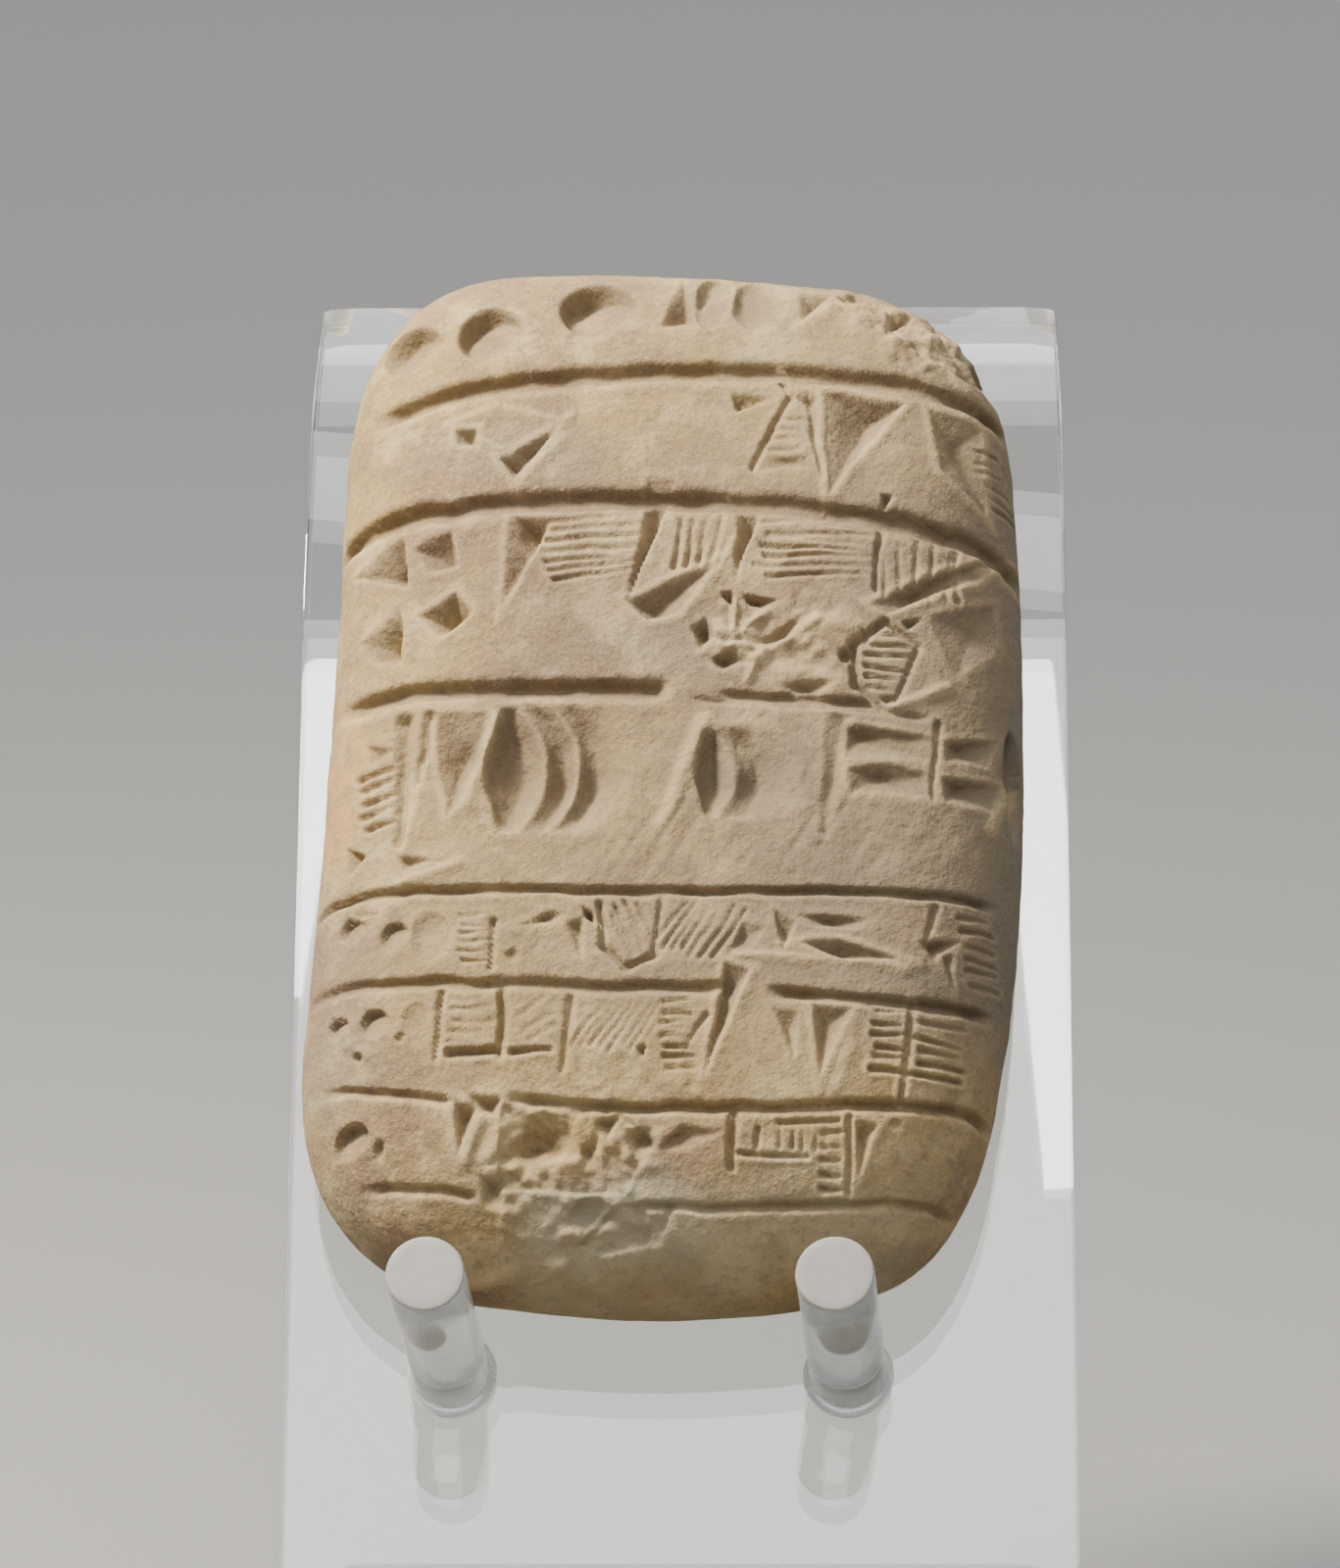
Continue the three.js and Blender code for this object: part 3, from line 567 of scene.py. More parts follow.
def press_row_three(clay):
    clay.pit(((-25.0, 59.6), (-20.8, 61.9), (-20.3, 57.2)), (-21.2, 58.6), 1.8)
    clay.pit(((-20.3, 60.6), (-16.9, 62.1), (-16.4, 58.6), (-18.8, 58.4)), (-17.1, 59.5), 1.6)
    clay.pit(((-24.2, 53.6), (-20.9, 55.8), (-20.6, 50.4), (-23.4, 51.4)), (-21.3, 52.3), 1.7)
    clay.pit(((-19.7, 54.6), (-16.4, 56.7), (-15.0, 54.6), (-17.9, 52.5)), (-16.5, 54.0), 1.6, 0.10)
    clay.ridge(-16.2, 56.9, 2.6, 0.9, 0.14, -60)
    clay.pit(((-12.5, 63.2), (-8.9, 62.7), (-12.9, 54.6)), (-10.0, 61.0), 1.5, 0.10)
    clay.lines(-5.9, 60.2, 7.8, 0.92, 7, 0.40, 7, 0.66, lean=0.16, seed=5)
    clay.pit(((-1.6, 66.2), (0.9, 66.0), (-3.3, 54.0)), (-0.7, 62.4), 1.4)
    clay.pit(((-3.2, 55.4), (-1.5, 53.5), (1.2, 54.2), (4.4, 59.0)), (-0.9, 54.6), 1.15, 0.16)
    clay.lines(2.4, 60.4, 4.4, 0.95, 4, 0.46, 80, 0.66, lean=0.25, seed=6)
    clay.lines(3.9, 60.0, 3.2, 0.9, 3, 0.28, 66, 0.5, seed=23)
    clay.pit(((5.4, 64.4), (7.7, 63.8), (5.2, 56.4)), (6.7, 61.6), 1.2)
    clay.ridge(5.0, 59.6, 1.0, 0.8, 0.2, 70)
    clay.lines(11.9, 60.3, 8.8, 0.92, 7, 0.38, 1, 0.64, seed=7)
    clay.wedge(17.5, 64.9, 2.6, 1.1, 0.9, -104)
    clay.groove(16.9, 63.2, 6.6, 0.9, 0.6, -93, 0.7)
    clay.lines(20.3, 58.5, 4.6, 1.12, 6, 0.46, 86, 0.6, lean=0.12, seed=8)
    clay.pit(((16.0, 55.4), (17.2, 54.2), (24.6, 58.4), (27.0, 61.4)), (19.4, 56.1), 0.85, 0.14)
    clay.broken(5.4, 52.4, 4.8, 1.15)
    clay.broken(11.0, 52.4, 5.2, 0.9)
    clay.pit(((1.9, 53.2), (3.2, 54.4), (4.0, 52.2), (2.8, 50.9)), (3.0, 52.6), 1.3)
    clay.pit(((4.0, 56.2), (5.2, 56.4), (5.4, 54.4)), (4.8, 55.6), 1.0)
    clay.pit(((5.7, 55.9), (9.0, 55.5), (8.2, 54.5), (6.2, 54.9)), (6.8, 55.2), 0.95)
    clay.pit(((6.7, 51.5), (10.6, 54.2), (10.6, 52.6), (8.0, 50.8)), (9.0, 52.4), 0.8)
    clay.pit(((3.4, 50.4), (5.4, 51.4), (6.6, 50.0), (4.4, 49.4)), (4.8, 50.4), 0.8)
    clay.pit(((8.6, 48.4), (14.0, 48.8), (12.6, 47.2), (9.4, 47.2)), (11.0, 47.9), 0.6)
    clay.ridge(4.0, 53.6, 1.8, 0.7, 0.4, -50)
    clay.ridge(5.2, 52.4, 2.6, 0.7, 0.45, 88)
    clay.ridge(5.5, 52.2, 3.2, 0.8, 0.45, 42)
    clay.ridge(4.4, 51.6, 3.4, 0.8, 0.4, -8)
    clay.ridge(7.0, 50.4, 6.0, 1.2, 0.45, 34)
    clay.ridge(6.4, 48.6, 2.2, 0.7, 0.35, 66)
    clay.ridge(11.4, 52.2, 2.6, 2.6, 0.35, 20)
    clay.ridge(9.6, 49.4, 4.0, 1.6, 0.3, -14)
    clay.pit(((15.0, 53.6), (16.4, 52.4), (15.7, 51.4)), (15.7, 52.5), 0.8)
    clay.pit(((18.3, 53.9), (20.4, 54.4), (18.9, 52.8)), (19.3, 53.8), 0.75)
    clay.oval(14.2, 50.7, 1.5, 1.3, (0, 0), 0.8)
    clay.groove(17.2, 53.9, 3.4, 1.0, 0.8, -138, 0.9)
    clay.groove(14.8, 51.7, 3.4, 1.0, 0.9, -88, 0.9)
    clay.groove(15.0, 48.6, 3.0, 0.9, 0.7, -50, 0.9)
    clay.groove(17.3, 53.7, 3.2, 0.7, 0.5, -36, 0.9)
    clay.groove(19.9, 51.8, 5.2, 0.7, 0.45, -112, 0.9)
    clay.lines(17.4, 49.9, 3.2, 0.88, 7, 0.50, -4, 0.55, lean=-0.05, seed=9)
    clay.wedge(17.0, 46.8, 2.4, 1.1, 0.6, 34)
    clay.ridge(17.9, 46.4, 4.6, 0.9, 0.3, 28)
    clay.pit(((20.4, 54.6), (25.9, 57.0), (26.2, 53.0), (22.6, 49.2)), (24.2, 54.0), 0.6)


# Across each group of finger tips: places in mm and the depth at each
BIG_FINGERS = (
    -14.4, -13.6, -12.4, -11.4, -10.2, -9.4, -9.1, -8.5, -7.8, -7.2, -6.8, -6.5, -6.0, -5.3, -4.2, -2.4)
BIG_DEPTHS = (0.0, 1.1, 1.75, 1.8, 0.9, 0.18, 0.2, 0.85, 1.3, 0.85, 0.25, 0.2, 0.75, 1.1, 0.55, 0.0)
SMALL_FINGERS = (2.3, 2.8, 3.4, 3.9, 4.7, 5.3, 5.6, 6.2, 7.0, 8.4, 10.6)
SMALL_DEPTHS = (0.0, 0.85, 1.3, 1.3, 0.65, 0.16, 0.18, 0.75, 1.15, 0.55, 0.0)


def press_row_four(clay):
    clay.pit(((-23.5, 44.4), (-20.6, 43.4), (-23.2, 42.2)), (-22.4, 43.2), 0.6)
    clay.lines(-22.4, 39.5, 2.5, 1.1, 5, 0.55, 10, 0.75, seed=10)
    clay.groove(-20.3, 45.6, 10.4, 1.7, 0.70, -92, 0.7)
    clay.groove(-18.5, 45.8, 5.6, 1.3, 0.6, -96, 0.6)
    clay.ridge(-18.7, 41.6, 7.4, 0.8, 0.25, -101)
    clay.pit(((-18.4, 46.2), (-13.2, 46.0), (-14.4, 40.6), (-17.0, 36.8)), (-15.6, 42.6), 1.25, 0.10)
    clay.ridge(-13.4, 45.4, 7.4, 1.1, 0.35, -106)
    clay.fingers(40.9, 5.4, 2.3, BIG_FINGERS, BIG_DEPTHS)
    clay.ridge(-13.0, 45.4, 5.6, 0.9, 0.28, -108)
    clay.ridge(3.2, 45.2, 9.4, 1.3, 0.30, -110)
    clay.fingers(40.6, 3.9, 1.5, SMALL_FINGERS, SMALL_DEPTHS)
    clay.pit(((3.2, 44.6), (7.4, 44.8), (7.0, 42.8), (4.0, 42.6)), (5.6, 43.2), 0.4)
    clay.groove(13.8, 45.2, 9.6, 2.4, 0.5, -98, 0.4)
    clay.pit(((13.6, 45.1), (21.2, 44.1), (21.0, 41.9), (13.9, 42.0)), (15.0, 44.0), 0.95, 0.08)
    clay.pit(
        ((13.9, 41.2), (17.2, 41.7), (21.2, 41.0), (20.9, 38.9), (14.4, 38.9)), (16.6, 40.6), 0.85, 0.08)
    clay.pit(((21.5, 43.9), (26.0, 45.2), (25.4, 42.6), (21.7, 42.2)), (23.0, 43.6), 0.8)
    clay.pit(((21.5, 40.9), (26.4, 41.6), (25.6, 39.0), (21.8, 38.8)), (23.2, 40.3), 0.8, 0.08)
    clay.groove(21.3, 45.3, 6.4, 0.8, 0.4, -94, 0.7)
    clay.ridge(25.4, 37.4, 5.0, 0.9, 0.25, 70)
    clay.pit(((-25.0, 36.2), (-23.1, 34.7), (-24.9, 33.0)), (-24.1, 34.9), 0.8)
    clay.pit(((-20.9, 34.2), (-17.2, 33.6), (-20.3, 32.7)), (-19.9, 33.5), 0.65)
    clay.ridge(-20.3, 31.9, 4.6, 0.9, 0.25, 16)


def press_row_five(clay):
    clay.dent(-24.2, 28.5, 2.3, 0.7)
    clay.dent(-20.8, 27.3, 2.6, 0.75)
    clay.groove(-23.8, 29.8, 1.6, 0.6, 0.3, -8, 0.7)
    clay.oval(-18.0, 27.0, 3.2, 4.6, (-0.6, 0.2), 0.35, 0.1)
    clay.lines(-14.5, 27.0, 2.2, 0.72, 6, 0.30, 2, 0.45, seed=11)
    clay.groove(-13.0, 28.2, 3.8, 0.8, 0.45, -93, 0.7)
    clay.pit(((-13.0, 28.6), (-8.6, 29.0), (-6.9, 29.8), (-8.0, 28.0), (-12.4, 27.7)), (-9.4, 28.4), 0.5)
    clay.wedge(-7.0, 28.4, 4.0, 1.7, 0.5, -76)
    clay.pit(((-6.5, 29.6), (-5.4, 28.9), (-5.2, 27.7), (-6.3, 28.4)), (-5.8, 28.6), 1.1)
    clay.oval(-11.7, 25.3, 1.3, 1.2, (0, 0), 0.35)
    clay.groove(-5.0, 29.6, 3.6, 0.9, 0.55, -84, 0.9)
    clay.groove(-4.7, 26.2, 2.6, 0.9, 0.55, -44, 0.9)
    clay.groove(-3.0, 24.4, 2.6, 0.9, 0.55, 24, 0.9)
    clay.groove(-0.9, 25.3, 3.2, 0.8, 0.45, 78, 0.7)
    clay.lines(-2.7, 27.3, 4.2, 0.78, 5, 0.42, -66, 0.5, seed=12)
    clay.groove(-0.2, 30.2, 4.6, 0.8, 0.4, -94, 0.6)
    clay.lines(2.6, 27.7, 4.4, 0.76, 7, 0.36, 58, 0.5, lean=0.3, seed=13)
    clay.pit(((5.0, 25.4), (6.0, 28.4), (8.0, 27.6), (6.6, 25.2)), (6.0, 27.0), 0.5)
    clay.pit(((8.4, 29.4), (10.4, 28.2), (9.2, 25.6)), (9.6, 27.4), 0.8)
    clay.pit(((9.6, 29.2), (12.6, 28.9), (17.2, 29.3), (15.0, 27.7), (11.6, 27.6)), (12.8, 28.2), 0.6)
    clay.pit(((10.2, 26.4), (13.4, 26.9), (18.8, 25.3), (14.0, 24.9)), (13.4, 25.6), 0.8, 0.14)
    clay.ridge(5.6, 25.4, 13.0, 0.9, 0.22, -3)
    clay.groove(21.0, 30.0, 3.6, 0.8, 0.4, -104, 0.6)
    clay.pit(((19.6, 27.0), (23.2, 27.8), (20.8, 25.2)), (20.9, 26.6), 0.85)
    clay.wedge(21.9, 26.4, 3.4, 1.2, 0.5, -80)
    clay.lines(24.3, 27.0, 2.1, 1.08, 6, 0.42, 8, 0.55, seed=14)


def press_row_six(clay):
    clay.dent(-25.2, 20.6, 1.8, 0.7)
    clay.dent(-22.3, 20.3, 2.5, 0.75)
    clay.oval(-20.2, 19.0, 1.2, 1.0, (0, 0), 0.35)
    clay.oval(-23.4, 17.9, 1.0, 0.9, (0, 0), 0.4)
    clay.oval(-19.0, 20.0, 2.6, 4.0, (-0.4, 0.2), 0.3, 0.1)
    clay.groove(-17.0, 22.4, 5.2, 0.9, 0.45, -95, 0.8)
    clay.groove(-12.3, 22.6, 5.4, 1.1, 0.65, -93, 0.8)
    clay.lines(-14.7, 19.8, 3.3, 0.86, 4, 0.22, 2, 0.5, seed=15)
    clay.groove(-16.5, 17.6, 3.9, 1.1, 0.75, 1, 0.9, 0.12)
    clay.groove(-11.8, 17.5, 3.0, 0.9, 0.5, 4, 0.6, 0.10)
    clay.lines(-9.7, 20.0, 3.0, 1.0, 3, 0.20, 30, 0.5, seed=16)
    clay.groove(-7.0, 22.0, 6.0, 1.2, 0.4, -97, 0.6)
    clay.lines(-3.2, 19.8, 4.4, 0.74, 8, 0.30, 56, 0.45, lean=0.5, seed=17)
    clay.pit(((-2.4, 18.0), (-1.0, 18.4), (-1.6, 16.6)), (-1.5, 17.6), 0.6)
    clay.lines(1.1, 18.9, 2.1, 0.87, 7, 0.40, 3, 0.5, seed=18)
    clay.pit(((4.7, 24.9), (6.9, 24.2), (3.0, 15.2)), (5.0, 22.6), 1.15, 0.14)
    clay.groove(3.4, 20.6, 3.4, 0.7, 0.4, -122, 0.5)
    clay.pit(((8.3, 21.2), (10.6, 20.8), (10.0, 16.2)), (9.6, 19.6), 0.6)
    clay.pit(((11.4, 21.6), (14.9, 21.4), (11.9, 15.2)), (12.7, 19.9), 0.95, 0.12)
    clay.ridge(13.4, 15.2, 3.0, 1.2, 0.15, 70)
    clay.lines(17.6, 19.2, 2.5, 0.95, 5, 0.46, 0, 0.6, seed=19)
    clay.groove(19.1, 21.8, 7.6, 0.8, 0.5, -96, 0.7, 0.10)
    clay.lines(21.2, 19.2, 3.5, 1.05, 5, 0.46, -1, 0.6, seed=20)
    clay.groove(16.0, 16.3, 6.8, 0.7, 0.40, 1, 0.8, 0.12)
    clay.broken(-5.0, 15.4, 3.0, 0.6)
    clay.broken(-23.6, 18.6, 3.4, 0.5)
    clay.broken(1.6, 15.6, 2.6, 0.6)


def press_row_seven(clay):
    clay.dent(-24.0, 11.6, 3.0, 1.0, 100)
    clay.oval(-21.8, 10.5, 0.9, 1.8, (0, 0.2), 0.4)
    clay.pit(((-16.2, 13.9), (-14.0, 13.3), (-15.6, 9.6)), (-15.1, 12.2), 0.95, 0.12)
    clay.pit(((-15.2, 14.2), (-12.2, 14.0), (-12.6, 12.4), (-14.2, 12.6)), (-13.4, 13.3), 0.9)
    clay.ridge(-13.9, 12.2, 3.2, 0.9, 0.3, -112)
    clay.flake(((-12.6, 13.6), (-7.0, 13.2), (-3.0, 13.0), (-0.6, 10.6), (-2.8, 6.4), (-12.6, 7.0)), 0.35)
    clay.broken(-9.4, 9.6, 4.6)
    clay.broken(-3.0, 9.4, 4.6)
    clay.broken(-11.0, 6.0, 4.0, 0.7)
    clay.pit(((-12.4, 9.4), (-9.9, 12.6), (-6.6, 12.2), (-6.9, 9.8), (-9.8, 8.0)), (-9.6, 9.8), 1.1)
    clay.ridge(-13.2, 9.6, 4.0, 1.4, 0.35, 56)
    clay.ridge(-11.0, 12.5, 4.4, 0.9, 0.3, 12)
    clay.ridge(-13.0, 8.6, 6.6, 1.1, 0.4, 4)
    clay.pit(((-5.4, 12.2), (-3.0, 13.0), (-4.4, 10.2)), (-4.2, 12.0), 0.9)
    clay.ridge(-3.8, 12.6, 3.0, 0.8, 0.3, -112)
    clay.pit(((-6.4, 10.4), (-4.8, 11.0), (-4.6, 8.6), (-6.4, 8.2)), (-5.6, 9.6), 0.6)
    clay.pit(((-3.2, 11.6), (-0.6, 11.8), (0.0, 9.8), (-2.6, 9.0)), (-1.8, 10.6), 0.7)
    clay.pit(((-0.9, 9.7), (1.6, 11.9), (4.9, 11.2), (1.8, 9.8)), (1.1, 10.9), 0.65)
    clay.groove(5.4, 12.9, 4.2, 1.2, 0.75, -92, 0.8)
    clay.groove(7.3, 11.5, 1.7, 0.7, 0.4, -92, 0.7)
    clay.groove(5.8, 9.7, 5.2, 0.6, 0.35, -2, 0.8, 0.12)
    clay.groove(8.8, 12.1, 4.6, 0.7, 0.42, 2, 0.8)
    clay.lines(10.7, 10.9, 1.7, 0.80, 5, 0.34, 88, 0.45, seed=21)
    clay.lines(13.1, 9.2, 1.9, 0.98, 5, 0.50, 0, 0.6, seed=22)
    clay.groove(14.3, 12.6, 5.6, 0.8, 0.45, -91, 0.8, 0.12)
    clay.pit(((14.6, 12.5), (16.6, 12.2), (14.8, 7.8)), (15.2, 11.0), 0.7, 0.12)
    clay.oval(17.9, 12.3, 1.0, 0.8, (0, 0), 0.2)
    clay.oval(20.0, 10.1, 0.8, 0.7, (0, 0), 0.2)


def press_foot(clay):
    clay.pit(((-14.0, 8.4), (-12.0, 8.0), (-12.0, 5.6), (-13.8, 6.0)), (-13.0, 7.0), 0.75)
    clay.oval(-5.6, 5.2, 3.4, 2.8, (-0.6, 0.2), 0.8, 0.05, 20)
    clay.ridge(-7.4, 4.0, 3.4, 1.0, 0.35, 4)
    clay.ridge(-4.2, 6.3, 2.6, 0.9, 0.3, -40)
    clay.flake(((-3.4, 6.0), (1.2, 6.0), (-0.2, 3.2), (-5.0, 2.6), (-6.6, 3.2)), 0.4, 0.3)
    clay.broken(-8.0, 5.0, 4.0, 0.6)
    clay.ridge(-15.2, 1.3, 7.6, 0.8, 0.35, 6)
    clay.groove(-14.8, 0.5, 6.0, 0.8, 0.3, 8, 0.5)


def press_face(clay, form):
    """Everything that was drawn or pressed into the written face."""
    for ruling in RULINGS:
        clay.ruling(form, *ruling)
    rows = (press_row_one, press_row_two, press_row_three, press_row_four,
            press_row_five, press_row_six, press_row_seven, press_foot)
    for press_row in rows:
        press_row(clay)


# Broken places, where each lump is gone: place and size as shares, and its turn in degrees
CHIPS = (
    ((0.94, 0.885, 0.60), (0.078, 0.092, 0.177), 20),
    ((0.62, 0.965, 0.95), (0.248, 0.092, 0.113), -22),
    ((0.86, 0.90, 0.925), (0.106, 0.177, 0.085), 30),
    ((-0.10, 0.035, 0.975), (0.195, 0.085, 0.071), 8),
    ((0.12, 0.03, 0.925), (0.142, 0.071, 0.057), 35),
    ((-0.45, 0.008, 0.70), (0.159, 0.046, 0.085), 14),
    ((0.97, 0.47, 0.675), (0.042, 0.177, 0.078), 6),
)


def chip_depth(form, places, normals, roughness):
    """How far each place is cut back where a lump is missing from the edges."""
    depth = np.zeros(len(places))
    for at, size, tilt in CHIPS:
        centre = np.array((at[0] * form.half, at[1] * form.height, at[2] * form.thickness))
        radii = np.array(size) * form.half
        cosine, sine = math.cos(math.radians(tilt)), math.sin(math.radians(tilt))
        turn = np.array(((cosine, sine, 0), (-sine, cosine, 0), (0, 0, 1)))
        off = ((places - centre) @ turn.T) / radii
        way = (normals @ turn.T) / radii
        gap = np.sum(off * off, axis=1) - 1
        inside = gap < 0
        a = np.sum(way[inside] ** 2, axis=1)
        b = np.sum(off[inside] * way[inside], axis=1)
        here = (b + np.sqrt(b * b - a * gap[inside])) / a
        depth[inside] = np.maximum(depth[inside], here * (1 + 0.25 * roughness[inside]))
    return depth


def tablet_relief(form, places, normals):
    """Height of the finished surface over the plain cushion, in mm, and the clay that was pressed."""
    wander = 0.17 * lattice_noise(places, 2.6, 11) + 0.06 * lattice_noise(places, 0.9, 18)
    waver = 0.17 * lattice_noise(places, 2.6, 12) + 0.06 * lattice_noise(places, 0.9, 19)
    clay = PressedClay(places[:, 0] + wander, places[:, 1] + waver)
    press_face(clay, form)
    written = smooth((places[:, 2] - form.rim - 0.8) / 3.2) * smooth((normals[:, 2] + 0.05) / 0.3)
    clay.cut *= written * (1 + 0.22 * lattice_noise(places, 2.2, 20))
    clay.raised *= written
    clay.flaked *= written
    clay.rough *= written
    coarse = lattice_noise(places, 1.9, 13)
    fine = lattice_noise(places, 0.8, 14)
    brushed = np.column_stack((
        places[:, 0] * 0.5 + places[:, 1] * 0.866,
        places[:, 1] * 0.5 - places[:, 0] * 0.866,
        places[:, 2],
    ))
    brush_marks = np.minimum(lattice_noise(brushed, 0.55, 15, (9.0, 1.0, 9.0)), 0.0)
    brush_band = patch(places[:, 0] - 6.0, places[:, 1] - 36.5, 17.0, 5.5, 1.4)
    height = 0.20 * lattice_noise(places, 15.0, 16) + 0.085 * lattice_noise(places, 5.0, 17)
    height += 0.045 * coarse + 0.03 * fine
    height += (0.16 * brush_band * written + 0.02) * brush_marks
    height += clay.cut + clay.raised - clay.flaked
    height += clay.rough * (0.38 * coarse + 0.24 * fine + 0.12 * lattice_noise(places, 0.45, 24))
    height -= chip_depth(form, places, normals, coarse)
    return height, clay


def local_places(piece):
    """The piece's vertices and normals as arrays."""
    count = len(piece.data.vertices)
    places = np.empty(count * 3)
    normals = np.empty(count * 3)
    piece.data.vertices.foreach_get("co", places)
    piece.data.vertices.foreach_get("normal", normals)
    return places.reshape(-1, 3), normals.reshape(-1, 3)


def set_places(piece, places):
    piece.data.vertices.foreach_set("co", places.ravel())
    piece.data.update()


def store(piece, name, values):
    """Keeps a number between 0 and 1 at each vertex, for the material."""
    attribute = piece.data.attributes.new(name, "FLOAT", "POINT")
    attribute.data.foreach_set("value", np.clip(values, 0, 1).astype(np.float32))


BACK_RINGS = 26


def tablet_blank(settings):
    """A sheet in a parameter square with a skirt of rings behind it, closed at the back."""
    bpy.ops.mesh.primitive_grid_add(
        x_subdivisions=settings.columns, y_subdivisions=settings.rows, size=2, location=(0, 0, 0))
    piece = new_piece("clay_tablet")
    start_editing("EDGE", "DESELECT")
    bpy.ops.mesh.select_non_manifold()
    for _ in range(BACK_RINGS):
        extrude((0, 0, -1))
    bpy.ops.mesh.edge_face_add()
    bpy.ops.mesh.select_mode(type="FACE")
    bpy.ops.mesh.poke()
    bpy.ops.mesh.select_all(action="SELECT")
    bpy.ops.mesh.quads_convert_to_tris()
    bpy.ops.object.mode_set(mode="OBJECT")
    return piece


def clay_stains(places, clay):
    """Where dust, warm patches, soil and painted shade in the strokes, wear and painted highlight on the
    lips, and painted shade towards the right and below lie.
    """
    x, y = places[:, 0], places[:, 1]
    # Soil in the strokes and painted shade: the deeper the stroke, the darker
    soil_and_painted_shade = smooth(-clay.cut / 0.9)
    # Rubbed wear and painted highlight: paler on raised lips and ridges
    wear_and_painted_highlight = smooth(clay.raised / 0.12)
    patchy = 0.5 + 0.5 * lattice_noise(places, 6.0, 21)
    crumbs = 0.5 + 0.5 * lattice_noise(places, 1.6, 22)
    low_left = patch(x + 6.0, y - 8.5, 9.5, 5.5, 1.5)
    left_edge = patch(x + 25.0, y - 17.0, 4.0, 5.0, 1.3)
    middle = patch(x - 0.5, y - 52.0, 6.0, 4.0, 1.2)
    band = patch(x + 12.0, y - 68.0, 8.0, 4.0, 1.3) * 0.5 + 0.7 * smooth((15.0 - y) / 12.0)
    dust = (low_left + 0.6 * left_edge + 0.5 * middle + band) * smooth(patchy * 1.6 - 0.3)
    dust = dust * (0.4 + 0.6 * crumbs)
    warm = patch(x + 26.5, y - 42.0, 3.4, 7.0, 1.35) * smooth(crumbs * 1.4)
    warm += 0.2 * patch(x - 19.5, y - 28.0, 5.0, 3.0, 1.3)
    # Painted shade: darker towards the right and below and where the cushion turns back, for the light's
    # fall-off, faded out near the foot
    painted_shade = 0.86 + 0.0125 * (x - 20.0) - 0.0068 * (y - 38.0) + 0.30 * (patchy - 0.5)
    painted_shade = np.clip(painted_shade - 0.02 * (places[:, 2] - 16.0), 0.0, 1.0) * (1 - 0.75 * smooth((26.0 - y) / 14.0))
    return {"soil_and_painted_shade": soil_and_painted_shade, "wear_and_painted_highlight": wear_and_painted_highlight, "dust": dust, "warm": warm, "painted_shade": painted_shade}


# Materials

def shader(name):
    """A new material with its node tree and its surface shader."""
    material = bpy.data.materials.new(name)
    material.use_nodes = True
    tree = material.node_tree
    surface = next(node for node in tree.nodes if node.type == "BSDF_PRINCIPLED")
    return material, tree, surface


def fill(tree, node, values):
    """Gives inputs of a node a plain value, a colour or the output of another node."""
    for name, value in values.items():
        socket = node.inputs[name]
        if isinstance(value, bpy.types.NodeSocket):
            tree.links.new(value, socket)
        elif isinstance(value, (int, float)):
            socket.default_value = value
        else:
            socket.default_value = (*value, 1.0)


def noise_node(tree, coordinates, scale, detail=4.0, roughness=0.55, distortion=0.0):
    node = tree.nodes.new("ShaderNodeTexNoise")
    fill(tree, node, {"Vector": coordinates, "Scale": scale, "Detail": detail,
                      "Roughness": roughness, "Distortion": distortion})
    return node.outputs["Fac"]


def ramp_node(tree, value, low, high, start=0.0, end=1.0):
    """Maps a value between two limits onto another span, with soft ends."""
    node = tree.nodes.new("ShaderNodeMapRange")
    node.interpolation_type = "SMOOTHSTEP"
    fill(tree, node, {"Value": value, "From Min": low, "From Max": high, "To Min": start, "To Max": end})
    return node.outputs["Result"]


def mix_colours(tree, share, first, second):
    """Mixes two colours, each a node's output or a plain colour."""
    node = tree.nodes.new("ShaderNodeMix")
    node.data_type = "RGBA"
    fill(tree, node, {0: share, 6: first, 7: second})
    return node.outputs[2]


def times_node(tree, first, second):
    node = tree.nodes.new("ShaderNodeMath")
    node.operation = "MULTIPLY"
    fill(tree, node, {0: first, 1: second})
    return node.outputs[0]


def attribute_node(tree, name):
    node = tree.nodes.new("ShaderNodeAttribute")
    node.attribute_name = name
    return node.outputs["Fac"]


def bump_node(tree, height, strength, distance, normal=None):
    node = tree.nodes.new("ShaderNodeBump")
    fill(tree, node, {"Height": height, "Strength": strength, "Distance": distance})
    if normal is not None:
        tree.links.new(normal, node.inputs["Normal"])
    return node.outputs["Normal"]


# Scales of the clay's patches, from clouds down to single grains, and its rusty stain
CLOUDS = 55.0
BLOTCHES = 210.0
MOTTLES = 560.0
SPECKS = 1500.0
GRAINS = 3400.0
RUST = (0.44, 0.22, 0.085)


